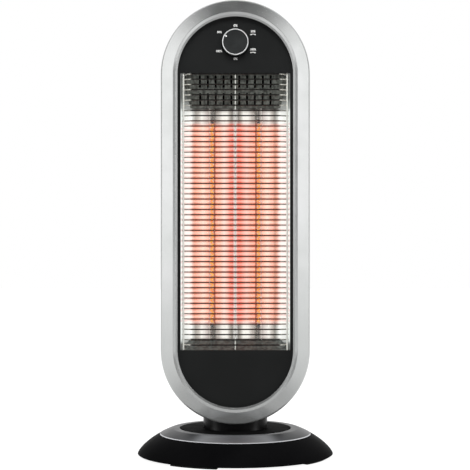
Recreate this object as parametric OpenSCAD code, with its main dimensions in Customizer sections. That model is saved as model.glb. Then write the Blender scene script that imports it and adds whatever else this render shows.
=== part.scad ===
// Carbon heater: two glowing quartz tubes behind a wire guard, in a tall head that swings on a round base.
// Millimetres. Z is up, the front faces -Y, and the origin is the centre of the footprint on the floor.

/* [Head] */
// Width of the head across the silver frame
head_w = 195; // [185:1:205]
// Height of the head above the window
head_over = 95; // [92:0.5:110]
// Free height between the base disc and the underside of the head
head_gap = 9.7; // [8:0.1:14]
// Distance from the swing axis forward to the crest of the frame
crest_front = 52.3; // [51:0.1:56]
// Distance from the swing axis back to the rear wall
head_back = 46; // [45:0.5:54]
// Wall of the rear shell and of the frame
shell_wall = 2.4; // [2:0.1:2.8]
// Radius of the rounded rear edge of the shell
back_round = 9; // [7:0.5:9]

/* [Frame and panel] */
// Width of the silver band as seen from the front
band_w = 17.5; // [16:0.1:19]
// How far the band curves back at its outer edge
band_drop = 8; // [6:0.5:9]
// Width of the sloping lip inside the band
lip_w = 4.8; // [4:0.1:6]
// How far the black panel lies behind the crest
panel_recess = 12.3; // [11:0.1:13]
// Thickness of the black panel
panel_t = 2.5; // [2:0.1:3]
// How far the panel reaches behind the lip
panel_lap = 3.6; // [3:0.1:4]

/* [Window] */
// Width of the opening in the panel
window_w = 143.2; // [140:0.2:145]
// Height of the opening
window_h = 362.4; // [350:0.2:366]
// Height of the opening above the underside of the head
window_low = 96.6; // [94:0.2:100]

/* [Guard] */
// Diameter of the horizontal wires
wire_d = 1.8; // [1.4:0.1:2.2]
// Diameter of the two upright edge wires
edge_wire_d = 2.4; // [2:0.1:2.8]
// Diameter of the upright centre wire
centre_wire_d = 1.5; // [1.2:0.1:2]
// Spacing of the horizontal wires
wire_pitch = 6.82; // [6:0.02:9]
// Width of the flat front of the guard
guard_flat_w = 117; // [112:1:120]
// Distance between the upright edge wires
guard_edge_w = 136; // [135:0.5:138]

/* [Reflector] */
// Thickness of the reflector sheet
sheet_t = 1; // [0.8:0.1:1.2]
// Distance from a tube to the bottom of its trough
trough_focus = 12.5; // [12:0.1:14]
// Width of the flat ridge between the troughs
ridge_w = 5; // [4:0.5:7]
// Half width at which the troughs meet the side walls
trough_half_w = 57.5; // [56:0.5:59]
// Depth of the end plates, from the window back toward the tubes
end_plate_deep = 27; // [24:0.5:28]
// Length of each tube end that the end plates hide
tube_hidden = 15; // [12:0.5:18]
// Number of slots in one row of the upper plate
slot_count = 10; // [6:1:11]
// Spacing of the slots
slot_pitch = 10.34; // [9:0.02:10.8]
// Width of a slot
slot_w = 2.7; // [2:0.1:3.4]
// Sheet left between the two rows of slots
slot_rest = 6.3; // [5:0.1:12]

/* [Tubes] */
// Distance between the two tubes
tube_spacing = 62.2; // [60:0.2:64]
// Outer diameter of a quartz tube
tube_d = 9; // [8:0.5:11]
// Wall of a quartz tube
tube_wall = 1; // [0.8:0.1:1.4]
// Length of a quartz tube
tube_len = 336; // [328:1:340]
// Height of the middle of the tubes above the middle of the window
tube_rise = -15.3; // [-17:0.1:-14]
// Length of the glowing element
glow_len = 266.6; // [240:0.2:280]
// Outer diameter of the spiral element
element_d = 4.8; // [4:0.1:5.4]
// Thickness of the carbon strand
strand_d = 1.1; // [0.9:0.1:1.3]
// Number of turns of the spiral
element_turns = 34; // [20:1:36]
// Diameter of the metal leads in the cold ends
lead_d = 0.8; // [0.6:0.1:1]
// Outer diameter of a ceramic end cap
cap_d = 16; // [14:0.5:18]
// Length of a ceramic end cap
cap_l = 23; // [20:1:26]
// Thickness of the brackets that carry the caps
bracket_t = 1.5; // [1.2:0.1:2]

/* [Knob and switch] */
// Diameter of the knob
knob_d = 34.8; // [32:0.2:36]
// How far the knob stands out of the panel
knob_h = 12.2; // [10:0.2:14]
// Distance from the top of the window up to the knob's centre
knob_up = 39.3; // [36:0.1:42]
// Width of the silver ring on the knob
knob_ring_w = 1.7; // [1.4:0.1:2.4]
// Diameter of the pointer dot
pointer_d = 2.4; // [1.8:0.1:3]
// Direction of the pointer at rest, counted from straight up toward the left
pointer_turn = 58; // [0:1:90]
// Diameter of the switch shaft
switch_shaft_d = 6; // [5:0.5:7]
// Side of the square body of the rotary switch
switch_side = 32; // [28:1:36]
// Depth of the rotary switch
switch_deep = 22; // [18:1:24]

/* [Back of the head] */
// Width of the hand grip
grip_w = 90; // [80:1:100]
// Height of the hand grip
grip_h = 30; // [26:1:34]
// Depth of the hand grip
grip_deep = 22; // [18:1:24]
// Width of the cooling slots
vent_w = 96; // [80:2:110]
// Height of one cooling slot
vent_h = 4; // [3:0.5:5]
// Spacing of the cooling slots
vent_pitch = 10; // [9:0.5:12]
// Number of cooling slots in each of the two fields
vent_count = 7; // [4:1:8]

/* [Neck] */
// Diameter of the neck
neck_d = 85.2; // [82:0.2:88]
// Wall of the neck
neck_wall = 3; // [2.5:0.1:3.5]
// Height of the neck from the base disc to the bracket inside the head
neck_h = 35; // [32:1:40]
// Diameter of the spigot that turns in the base disc
spigot_d = 60; // [56:1:62]
// Bore of the spigot, for the wires
spigot_bore_d = 44; // [42:1:46]
// Thickness of the sliding washer under the neck
washer_t = 0.5; // [0.4:0.1:0.8]
// Thickness of the bracket between the neck and the rear shell
neck_bracket_t = 1.5; // [1.2:0.1:2]

/* [Base] */
// Diameter of the base
base_d = 260; // [250:1:280]
// Height of the base disc above the floor
disc_top = 36.8; // [36:0.1:42]
// Diameter of the flat disc on the base
disc_d = 146.8; // [144:0.2:149]
// Thickness of the disc
disc_t = 3; // [2.6:0.1:3.4]
// Outer diameter of the silver ring
ring_d = 201; // [198:1:214]
// Thickness of the silver ring
ring_t = 1.4; // [1.2:0.1:1.8]
// Wall of the base shell
base_wall = 2.2; // [2:0.1:2.6]
// Thickness of the plate that closes the base from below
cover_t = 3; // [2.6:0.1:3.4]
// Height of the rubber feet
foot_h = 2.3; // [1.8:0.1:3]
// Width of the rubber feet
foot_w = 15.8; // [12:0.2:16]
// Length of each foot as an angle
foot_arc = 31; // [20:1:40]
// Bore of the cord gland
gland_bore_d = 7.4; // [6.6:0.1:8]
// Outer diameter of the cord gland
gland_d = 12.4; // [11:0.1:13]
// Length of the cord gland
gland_l = 24.5; // [22:0.5:26]

/* [Swing drive] */
// Distance from the swing axis to the motor shaft
motor_off = 38; // [37:0.5:40]
// Diameter of the motor case
motor_d = 50; // [48:0.5:51]
// Height of the motor case
motor_h = 16.8; // [15:0.1:17]
// Distance from the motor shaft to each fixing screw
ear_reach = 30; // [29.5:0.5:32]
// Diameter of the motor shaft
motor_shaft_d = 5; // [4:0.5:6]
// Radius of the crank
crank_r = 23; // [22:0.5:24]
// Diameter of the crank pin
crank_pin_d = 6; // [5:0.5:6]
// Thickness of the crank arm
crank_t = 2.6; // [2.2:0.1:2.8]
// Thickness of the slotted swing plate
swing_plate_t = 2.4; // [2:0.1:2.6]

/* [Tip-over switch] */
// Distance from the swing axis to the plunger
plunger_off = 84; // [82:0.5:86]
// Diameter of the plunger
plunger_d = 8; // [7:0.5:9]
// Travel of the plunger when the heater is lifted
plunger_travel = 4; // [3:0.5:4]
// Thickness of the plunger's spring wire
spring_wire_d = 0.7; // [0.5:0.1:0.8]
// Number of turns of the plunger's spring
spring_turns = 5; // [4:1:6]

/* [Screws] */
// Core diameter of the screws
screw_d = 3; // [2.6:0.1:3.2]
// Head diameter of the screws
screw_head_d = 6.4; // [5.6:0.1:6.6]
// Head height of the screws
screw_head_h = 1.8; // [1.6:0.1:2]

// Core diameter of the small screws
small_screw_d = 2; // [1.6:0.1:2.2]

/* [Clearances] */
// Radial clearance of a shaft that turns or slides in its bore
run_fit = 0.05; // [0.02:0.01:0.1]
// Clearance of a screw in the hole that it passes through
screw_gap = 0.35; // [0.25:0.05:0.5]
// Gap at seams between covers
seam = 0.2; // [0.1:0.05:0.3]
// Sideways play of the crank pin in its slot
slot_play = 1.3; // [1.2:0.1:1.6]
// Free height between parts that pass over each other
pass_gap = 0.4; // [0.2:0.1:0.6]

/* [Hidden] */
$fn = 64;
eps = 0.01;

// Heights in the base, from the floor up
cover_top = foot_h + cover_t;
disc_low = disc_top - disc_t;
plate_top = disc_low - pass_gap / 2;
plate_low = plate_top - swing_plate_t;
crank_top = plate_low - screw_head_h - pass_gap - 0.2;
crank_low = crank_top - crank_t;
motor_top = crank_low - 3;
ear_t = 1.5;
motor_bite = 7.5;
ear_w = 14;
pin_top = disc_low - 2 * pass_gap;
ledge_t = 2.5;
ledge_in = 69;
ledge_low = disc_low - ledge_t;
tab_screw_r = 65;
tab_angles = [0, 110, -110];
disc_r = disc_d / 2;
ring_r = ring_d / 2;
base_r = base_d / 2;
neck_low = disc_top + washer_t + run_fit;
neck_r = neck_d / 2;
spigot_r = spigot_d / 2;
spigot_bore_r = spigot_bore_d / 2;

// Outline of the base: one curve that starts nearly flat at the disc and drops steeply at the rim
rim_z = 1.1 + foot_h;
dome_h = disc_top + 2.2 - rim_z;
dome_pow_r = 1.418;
dome_pow_z = 0.728;
function dome(r) =
  rim_z + dome_h * pow(max(0, 1 - pow(max(0, (r - disc_r) / (base_r - disc_r)), dome_pow_r)), dome_pow_z);
function steps(a, b, n) = [for (i = [0:n]) a + (b - a) * i / n];
ring_proud = 0.3;
function ring_top(r) = min(dome(r) + ring_proud, disc_top + 0.8);
function ring_seat(r) = ring_top(r) - ring_t;
ring_bed = [for (r = steps(ring_r, disc_r + 0.8, 8)) [r, ring_seat(r)]];
shell_lip_r = base_r - 6;
cover_r = shell_lip_r - 2.1 - seam;
inner_out = 2;
function base_inner(r) = min(dome(r + inner_out), ring_seat(r)) - base_wall;

// Places around the base
cover_screw_r = 104;
cover_bite = 10;
cover_screw_angles = [45, 135, 225, 315];
foot_out_r = shell_lip_r - 0.2;
foot_first = -90 - 26.5 - foot_arc / 2;
gland_z = cover_top + gland_d / 2 + 2.3;
gland_end = base_r - 1.5;
gland_flange_r = gland_d / 2 + 2;
gland_seat = gland_end - gland_l + 3;
block_x = 36;
block_y = 44;
block_size = [28, 18, 13];

// The head, as a stadium around an upright spine
head_r = head_w / 2;
head_h = window_low + window_h + head_over;
head_low = disc_top + head_gap;
spine_half = head_h / 2 - head_r;
head_mid = head_low + head_h / 2;
crest_y = -crest_front;
band_r = head_r - band_w;
lip_r = band_r - lip_w;
panel_y = crest_y + panel_recess;
panel_back = panel_y + panel_t;
panel_r = lip_r + panel_lap;
split_y = panel_back - 0.5;
window_z0 = head_low + window_low;
window_z1 = window_z0 + window_h;
window_half = window_w / 2;
inner_r = head_r - shell_wall;
back_inner = head_back - shell_wall;

// Screw posts that clamp the frame, the panel and the rear shell together
post_r = 4.8;
ear_r = 5.2;
post_ring = head_r - back_round - screw_head_d / 2 - screw_gap - 0.4;
post_inset = 16.5;
post_up = spine_half - post_inset;
post_places = [
  [-post_ring, head_mid - post_up], [post_ring, head_mid - post_up], [-post_ring, head_mid],
  [post_ring, head_mid], [-post_ring, head_mid + post_up], [post_ring, head_mid + post_up],
  [0, head_mid + spine_half + post_ring]
];
post_web = 3;
post_bite = 5;
boss_tip = crest_y + shell_wall + 0.8;

// Guard, reflector and tubes, in the plan view (x, y)
wire_r = wire_d / 2;
edge_wire_r = edge_wire_d / 2;
centre_wire_r = centre_wire_d / 2;
guard_y = panel_y + wire_r + 0.1;
edge_y = panel_back + edge_wire_r;
edge_x = guard_edge_w / 2;
wire_end_y = edge_y + edge_wire_r + wire_r;
wire_bend = atan2(wire_end_y - guard_y + 0.1, edge_x - guard_flat_w / 2);
wire_count = floor((window_h - 4 * wire_d) / wire_pitch) + 1;
first_wire_z = window_z1 - wire_r - seam;
flange_y = edge_y + edge_wire_r;
flange_in = window_half - 0.5;
flange_out = flange_in + 7;
tube_x = tube_spacing / 2;
tube_y = 0;
tube_r = tube_d / 2;
tube_mid = (window_z0 + window_z1) / 2 + tube_rise;
tube_low = tube_mid - tube_len / 2;
tube_high = tube_mid + tube_len / 2;
trough_back = tube_y + trough_focus;
function trough(x) = trough_back - pow(abs(x) - tube_x, 2) / (4 * trough_focus);
wall_y = trough(trough_half_w);
function wall_x(y) = trough_half_w + (flange_in - trough_half_w) * (wall_y - y) / (wall_y - flange_y);
upper_plate_drop = window_z1 + 0.5 - tube_high + tube_hidden;
lower_plate_rise = tube_low + tube_hidden - window_z0 + 0.5;
half_trough = [for (x = steps(trough_half_w, ridge_w / 2, 18)) [x, trough(x)]];
cap_grip = 12;
cap_upper = tube_high - cap_grip;
cap_lower = tube_low + cap_grip;
reflector_low = cap_lower - cap_l - bracket_t - 1.5;
reflector_high = window_z1 + 1;
lip_h = 9;
notch_w = 6.5;
notch_deep = 4.4;
flange_screw_x = 50;
flange_screw_z = 5;
flange_bite = 1;
side_screw_x = (window_half + panel_r) / 2 - 0.6;
side_screw_in = 60;
side_screw_z = [window_z0 + side_screw_in, window_z1 - side_screw_in];
side_post_r = 2.9;
bracket_front = -14;
cutout_r = 4.4;

// Knob and switch
knob_z = window_z1 + knob_up;
knob_r = knob_d / 2;
knob_front = panel_y - knob_h;
knob_back = panel_back - 0.7;
knob_well_r = knob_r + 1.2;
pointer_r = knob_r - knob_ring_w - pointer_d / 2 - 0.3;
switch_plate_t = 1.5;
switch_plate_half = [30, 22];
switch_screw_x = 24;
switch_front = panel_back + switch_plate_t;
switch_back = switch_front + switch_deep;
shaft_r = switch_shaft_d / 2;
ring_deep = 3;

// Hand grip and cooling slots
grip_mid = knob_z + 16;
vent_low = window_z0 - 6;
vent_drop = 48;
vent_high = window_z1 - vent_drop;

// Tip-over switch
holder_top = cover_top + 16;
holder_t = 2;
holder_screw_y = 14;
rod_r = plunger_d / 2 - 1;
stop_t = 2;
stop_low = cover_top + plunger_travel + 0.3;
stop_r = plunger_d / 2 + 3;
micro_size = [8, 20, 7];
spring_r = rod_r + 0.6 + spring_wire_d / 2;

// A screw with its head at the origin and its core along +Z
module screw(l) {
  translate([0, 0, -screw_head_h]) cylinder(d = screw_head_d, h = screw_head_h);
  translate([0, 0, -eps]) cylinder(d = screw_d, h = l + eps);
}
module small_screw(l) {
  translate([0, 0, -1.2]) cylinder(d = small_screw_d * 1.9, h = 1.2);
  translate([0, 0, -eps]) cylinder(d = small_screw_d, h = l + eps);
}
module at_angles(r, angles) {
  for (a = angles) rotate(a) translate([r, 0, 0]) children();
}
module forward() { rotate([90, 0, 0]) children(); }
module backward() { rotate([-90, 0, 0]) children(); }
module ring(r_out, r_in, h) {
  difference() {
    cylinder(r = r_out, h = h);
    translate([0, 0, -1]) cylinder(r = r_in, h = h + 2);
  }
}

// Carries a section (distance from the spine, y) round the stadium of the head
module round_head(section) {
  for (up = [0, 1])
    translate([0, 0, head_mid + (up ? spine_half : -spine_half)]) rotate([90, 0, 0]) mirror([0, 0, 1])
      rotate([0, 0, up ? 0 : 180]) rotate_extrude(angle = 180, $fn = 128) polygon(section);
  for (side = [0, 1])
    mirror([side, 0, 0]) translate([0, 0, head_mid - spine_half])
      linear_extrude(2 * spine_half) polygon(section);
}
// A solid stadium slab between two planes of y
module head_slab(r, y0, y1) {
  translate([0, y1, 0]) rotate([90, 0, 0]) linear_extrude(y1 - y0) {
    translate([0, head_mid + spine_half]) circle(r = r, $fn = 128);
    translate([0, head_mid - spine_half]) circle(r = r, $fn = 128);
    translate([-r, head_mid - spine_half]) square([2 * r, 2 * spine_half]);
  }
}

// A round tube swept along points, closed at both ends; ref is a direction that the path never takes
function unit(v) = v / norm(v);
function path_dir(p, i) = unit(p[min(i + 1, len(p) - 1)] - p[max(i - 1, 0)]);
function path_ring(p, i, r, sides, ref) =
  let (t = path_dir(p, i), u = unit(cross(ref, t)), v = cross(t, u))
  [for (k = [0:sides - 1]) p[i] + r * (cos(360 * k / sides) * u + sin(360 * k / sides) * v)];
module swept_tube(p, r, sides, ref) {
  n = len(p);
  rings = [for (i = [0:n - 1]) each path_ring(p, i, r, sides, ref)];
  walls = [for (i = [0:n - 2], k = [0:sides - 1])
    let (a = i * sides + k, b = i * sides + (k + 1) % sides)
    each [[a, a + sides, b], [b, a + sides, b + sides]]];
  low_end = [for (k = [1:sides - 2]) [0, k, k + 1]];
  top = (n - 1) * sides;
  high_end = [for (k = [1:sides - 2]) [top, top + k + 1, top + k]];
  polyhedron(points = rings, faces = concat(walls, low_end, high_end), convexity = 4);
}
// Points of an upright coil with straight ends, from z0 to z1
function coil(r, turns, z0, z1, per_turn, tail) =
  concat([[r, 0, z0]],
    [for (i = [0:turns * per_turn])
      [r * cos(360 * i / per_turn), r * sin(360 * i / per_turn),
       z0 + tail + (z1 - z0 - 2 * tail) * i / (turns * per_turn)]],
    [[r, 0, z1]]);
// Least free gap between one turn of a coil and the next, measured on its points
function coil_gap(p, per_turn, d) =
  min([for (i = [1:len(p) - per_turn - 2]) norm(p[i + per_turn] - p[i])]) - d;
// Rounds a route of chosen points with a smooth curve through them
function route_point(p, i, t) =
  let (a = p[max(i - 1, 0)], b = p[i], c = p[i + 1], d = p[min(i + 2, len(p) - 1)])
  0.5 * (2 * b + (c - a) * t + (2 * a - 5 * b + 4 * c - d) * t * t + (3 * b - a - 3 * c + d) * t * t * t);
function route(p, n) =
  concat([for (i = [0:len(p) - 2], k = [0:n - 1]) route_point(p, i, k / n)], [p[len(p) - 1]]);

// Base shell: black dome with a ledge for the disc, a seat for the ring and bosses for the cover
module base_shell() {
  outer = [for (r = steps(base_r - 0.05, ring_r + 0.4, 16)) [r, dome(r)]];
  seat = concat([[ring_r + 0.4, ring_seat(ring_r + 0.4)]], ring_bed);
  inner = [for (r = steps(ledge_in + 8, base_r - 4.5, 16)) [r, base_inner(r)]];
  section = concat(
    [[shell_lip_r - 2.1, foot_h], [shell_lip_r, foot_h], [base_r - 1.2, foot_h + 0.5],
     [base_r - 0.2, rim_z + 0.3]],
    outer, seat,
    [[disc_r + 0.2, ring_seat(disc_r)], [disc_r + 0.2, disc_low], [ledge_in, disc_low],
     [ledge_in, ledge_low], [ledge_in + 6, ledge_low]],
    inner,
    [[shell_lip_r - 2.1, cover_top + 0.6]]);
  color("#1c1d1f") difference() {
    union() {
      rotate_extrude($fn = 128) polygon(section);
      at_angles(cover_screw_r, cover_screw_angles)
        translate([0, 0, cover_top]) cylinder(r = 4.5, h = base_inner(cover_screw_r + 4.5) - cover_top + 1.5);
      at_angles(tab_screw_r, tab_angles) translate([0, 0, ledge_low]) {
        cylinder(r = 4.5, h = ledge_t);
        translate([0, -4.5, 0]) cube([ledge_in - tab_screw_r + 2, 9, ledge_t]);
      }
      intersection() {
        translate([0, base_r, gland_z]) forward() cylinder(r = gland_flange_r, h = base_r - gland_seat);
        rotate_extrude($fn = 128)
          polygon(concat([[0, cover_top], [base_r - 1, cover_top]], outer, [[0, ring_seat(ring_r)]]));
      }
    }
    at_angles(cover_screw_r, cover_screw_angles)
      translate([0, 0, cover_top - 1]) cylinder(d = screw_d, h = 13);
    at_angles(tab_screw_r, tab_angles)
      translate([0, 0, ledge_low - 1]) cylinder(d = screw_d + 2 * screw_gap, h = ledge_t + 2);
    translate([0, base_r + 5, gland_z]) forward() cylinder(d = gland_d, h = 40);
  }
}

// Silver ring on the shoulder of the base, with a small rounded outer edge
module base_trim_ring() {
  top = [for (r = steps(disc_r + 0.8, ring_r - 0.6, 10)) [r, ring_top(r)]];
  edge = [[ring_r - 0.1, ring_top(ring_r) - 0.15], [ring_r, ring_top(ring_r) - 0.6]];
  color("#8f9193") rotate_extrude($fn = 128) polygon(concat(top, edge, ring_bed));
}

// Flat disc that closes the top of the base and carries the head
module base_top_disc() {
  color("#26282a") difference() {
    translate([0, 0, disc_low]) cylinder(r = disc_r, h = disc_t, $fn = 128);
    translate([0, 0, disc_low - 1]) cylinder(r = spigot_r + run_fit, h = disc_t + 2, $fn = 128);
    at_angles(tab_screw_r, tab_angles) translate([0, 0, disc_low - 1]) cylinder(d = screw_d, h = disc_t);
  }
}

// Plate that closes the base from below, with the motor posts
module base_cover() {
  color("#232426") difference() {
    union() {
      translate([0, 0, foot_h]) cylinder(r = cover_r, h = cover_t, $fn = 128);
      for (side = [-1, 1])
        translate([-motor_off, side * ear_reach, foot_h]) cylinder(r = 4.5, h = motor_top - ear_t - foot_h);
    }
    at_angles(cover_screw_r, cover_screw_angles) {
      translate([0, 0, foot_h - 1]) cylinder(d = screw_d + 2 * screw_gap, h = cover_t + 2);
      translate([0, 0, foot_h - 1]) cylinder(d = screw_head_d + 2 * screw_gap, h = screw_head_h + 1.1);
    }
    for (side = [-1, 1])
      translate([-motor_off, side * ear_reach, cover_top + 3]) cylinder(d = screw_d, h = motor_top);
    translate([plunger_off, 0, 0]) cylinder(d = plunger_d + 2 * run_fit, h = cover_top + 2);
    for (side = [-1, 1])
      translate([plunger_off, side * holder_screw_y, foot_h + 1]) cylinder(d = screw_d, h = cover_t);
  }
}
module cover_screws() {
  color("#8b8d90") at_angles(cover_screw_r, cover_screw_angles)
    translate([0, 0, foot_h + screw_head_h + 0.1]) screw(cover_t - screw_head_h + cover_bite);
}
module disc_screws() {
  color("#8b8d90") at_angles(tab_screw_r, tab_angles)
    translate([0, 0, ledge_low]) screw(ledge_t + disc_t - 1.2);
}

// Four curved rubber pads under the rim
module rubber_feet() {
  color("#17181a") for (k = [0:3])
    rotate(foot_first + 90 * k) rotate_extrude(angle = foot_arc, $fn = 128)
      translate([foot_out_r - foot_w, 0]) square([foot_w, foot_h]);
}

// Bush in the back of the base for the mains lead
module cord_gland() {
  color("#161719") difference() {
    union() {
      translate([0, gland_end, gland_z]) forward() cylinder(d = gland_d, h = gland_l);
      translate([0, gland_seat, gland_z]) forward() cylinder(r = gland_flange_r, h = 3);
    }
    translate([0, gland_end + 1, gland_z]) forward() cylinder(d = gland_bore_d, h = gland_l + 2);
  }
}

// Terminal block for the mains lead, the motor, the tip-over switch and the head
module block_holes() {
  for (i = [0:2]) translate([block_x + 5 + 9 * i, block_y + block_size[1] / 2, 0]) children();
}
module terminal_block() {
  color("#d9d8d0") difference() {
    translate([block_x, block_y, cover_top]) cube(block_size);
    block_holes() translate([0, 0, cover_top + 4]) cylinder(d = 4, h = block_size[2]);
  }
}
module terminal_screws() {
  color("#c9a24a") block_holes() translate([0, 0, cover_top + 4]) cylinder(d = 4, h = block_size[2] - 6);
}

// Tip-over switch: a plunger through the cover, its spring, its bridge and the switch itself
module tip_switch_holder() {
  leg = 4;
  color("#2b2d30") difference() {
    translate([plunger_off, 0, 0]) {
      translate([-5, -17, holder_top - holder_t]) cube([10, 34, holder_t]);
      for (side = [-1, 1])
        translate([-5, side * holder_screw_y - (side > 0 ? leg / 2 + 1 : leg / 2 + 2 - 1), cover_top])
          cube([10, leg + 1, holder_top - cover_top - holder_t / 2]);
    }
    translate([plunger_off, 0, cover_top]) cylinder(r = rod_r + run_fit, h = holder_top);
    for (side = [-1, 1]) {
      translate([plunger_off, side * holder_screw_y, cover_top - 1]) cylinder(d = screw_d, h = 9);
      translate([plunger_off, side * 7.5, holder_top - holder_t - 1])
        cylinder(d = small_screw_d, h = holder_t + 2);
    }
  }
}
module tip_switch_body() {
  color("#1d2a3a") difference() {
    translate([plunger_off - micro_size[0] / 2, -micro_size[1] / 2, holder_top]) cube(micro_size);
    translate([plunger_off, 0, holder_top - 1]) cylinder(r = rod_r + 0.3, h = 3.4);
    for (side = [-1, 1])
      translate([plunger_off, side * 7.5, holder_top - 1])
        cylinder(d = small_screw_d + screw_gap, h = micro_size[2] + 2);
  }
}
module tip_switch_screws() {
  color("#8b8d90") for (side = [-1, 1]) translate([plunger_off, 0, 0]) {
    translate([0, side * 7.5, holder_top + micro_size[2]]) mirror([0, 0, 1])
      small_screw(micro_size[2] + holder_t);
    translate([0, side * holder_screw_y, foot_h + 1]) cylinder(d = screw_d, h = 8);
  }
}
module tip_plunger() {
  color("#c8c4b6") translate([plunger_off, 0, 0]) {
    cylinder(d = plunger_d, h = stop_low + eps);
    translate([0, 0, stop_low]) cylinder(r = stop_r, h = stop_t);
    translate([0, 0, stop_low + stop_t - eps]) cylinder(r = rod_r, h = holder_top + 1.6 - stop_low - stop_t);
  }
}
spring_path = coil(spring_r, spring_turns, stop_low + stop_t, holder_top - holder_t, 8, spring_wire_d);
echo(spring_gap = coil_gap(spring_path, 8, spring_wire_d));
module tip_spring() {
  color("#a8abae") translate([plunger_off, 0, 0]) swept_tube(spring_path, spring_wire_d / 2, 6, [1, 0.3, 0]);
}

// Synchronous swing motor on two posts, its shaft and the crank
module swing_motor() {
  color("#b9bbbd") difference() {
    union() {
      translate([-motor_off, 0, motor_top - motor_h]) cylinder(d = motor_d, h = motor_h);
      translate([-motor_off - ear_w / 2, -ear_reach, motor_top - ear_t]) cube([ear_w, 2 * ear_reach, ear_t]);
      for (side = [-1, 1])
        translate([-motor_off, side * ear_reach, motor_top - ear_t]) cylinder(d = ear_w - 4, h = ear_t);
    }
    for (side = [-1, 1])
      translate([-motor_off, side * ear_reach, 0]) cylinder(d = screw_d + 2 * screw_gap, h = motor_top + 1);
    translate([-motor_off, 0, motor_top - 5]) cylinder(d = motor_shaft_d + 2 * run_fit, h = 6);
  }
}
module motor_screws() {
  color("#8b8d90") for (side = [-1, 1])
    translate([-motor_off, side * ear_reach, motor_top]) mirror([0, 0, 1]) screw(ear_t + motor_bite);
}
module motor_shaft() {
  color("#9ea1a4") translate([-motor_off, 0, motor_top - 4.8])
    cylinder(d = motor_shaft_d, h = crank_top - motor_top + 4.8);
}
module crank_arm() {
  hub_r = motor_shaft_d / 2 + 3;
  tip_r = crank_pin_d / 2 + 1.2;
  color("#d8d5cb") translate([-motor_off, 0, 0]) difference() {
    union() {
      translate([0, 0, crank_low - 1.6]) cylinder(r = hub_r, h = crank_t + 1.6);
      translate([-crank_r, 0, crank_low]) cylinder(r = tip_r, h = crank_t);
      translate([-crank_r, -tip_r + 0.3, crank_low]) cube([crank_r, 2 * tip_r - 0.6, crank_t]);
    }
    cylinder(d = motor_shaft_d, h = crank_top + 1);
    translate([-crank_r, 0, 0]) cylinder(d = crank_pin_d - 2, h = crank_top + 1);
  }
}
module crank_pin() {
  color("#9ea1a4") translate([-motor_off - crank_r, 0, 0]) {
    translate([0, 0, crank_low]) cylinder(d = crank_pin_d - 2, h = crank_t + eps);
    translate([0, 0, crank_top]) cylinder(d = crank_pin_d, h = pin_top - crank_top);
  }
}

// Sliding washer between the disc and the neck
module pivot_washer() {
  color("#dedbd2") translate([0, 0, disc_top]) ring(neck_r - 1, spigot_r + 1, washer_t, $fn = 128);
}

// Wires in the base: block to pivot, motor to block, tip-over switch to block
wire_z = cover_top + 7;
block_mid = block_y + block_size[1] / 2;
block_end = block_x + block_size[0];
pivot_route = [
  [block_x - 0.2, block_mid, wire_z], [block_x - 2.2, block_mid, wire_z],
  [block_x - 4.2, block_mid, wire_z], [26, 46, wire_z],
  [12, 26, wire_z], [3, 10, wire_z + 2], [0, 0, wire_z + 8], [0, 0, wire_z + 13.5], [0, 0, wire_z + 16]
];
motor_route = [
  [-12.6, 0, 14], [-6, 4, 13], [4, 24, 11], [18, 52, 10], [block_x - 6.2, 58, 10],
  [block_x - 3.2, 58, 10], [block_x - 0.2, 58, 10]
];
tip_route = [
  [84, 10.1, 24.5], [84, 16, 24.5], [82, 32, 22], [76, 46, 14], [71, block_mid, wire_z],
  [block_end + 4.2, block_mid, wire_z], [block_end + 2.2, block_mid, wire_z],
  [block_end + 0.2, block_mid, wire_z]
];
module base_wiring() {
  color("#7a2d22") {
    swept_tube(route(pivot_route, 3), 2.6, 8, [0.9, -0.6, 0]);
    swept_tube(route(motor_route, 3), 1.2, 8, [0, 0, 1]);
    swept_tube(route(tip_route, 3), 1.2, 8, [1, 0.2, 0.1]);
  }
}

// Neck: a collar under the head with the spigot that turns in the disc
module neck_collar() {
  post_at = neck_r - neck_wall - 5;
  top = disc_top + neck_h;
  color("#151618") difference() {
    union() {
      translate([0, 0, neck_low]) cylinder(r = neck_r, h = top - neck_low, $fn = 128);
      translate([0, 0, plate_top]) cylinder(r = spigot_r, h = neck_low - plate_top + 1, $fn = 128);
    }
    difference() {
      translate([0, 0, neck_low + 4]) cylinder(r = neck_r - neck_wall, h = neck_h, $fn = 128);
      at_angles(post_at, [45, 135, 225, 315]) translate([0, 0, neck_low]) cylinder(r = 6, h = neck_h + 1);
    }
    translate([0, 0, plate_top - 1]) cylinder(r = spigot_bore_r, h = neck_h);
    at_angles(post_at, [45, 135, 225, 315]) translate([0, 0, top - 12]) cylinder(d = screw_d, h = 13);
    at_angles(spigot_r - 4, [0, 120, 240]) translate([0, 0, plate_top - 1]) cylinder(d = screw_d, h = 7);
    head_slab(head_r + seam, crest_y - 5, panel_back + seam);
  }
}

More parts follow.
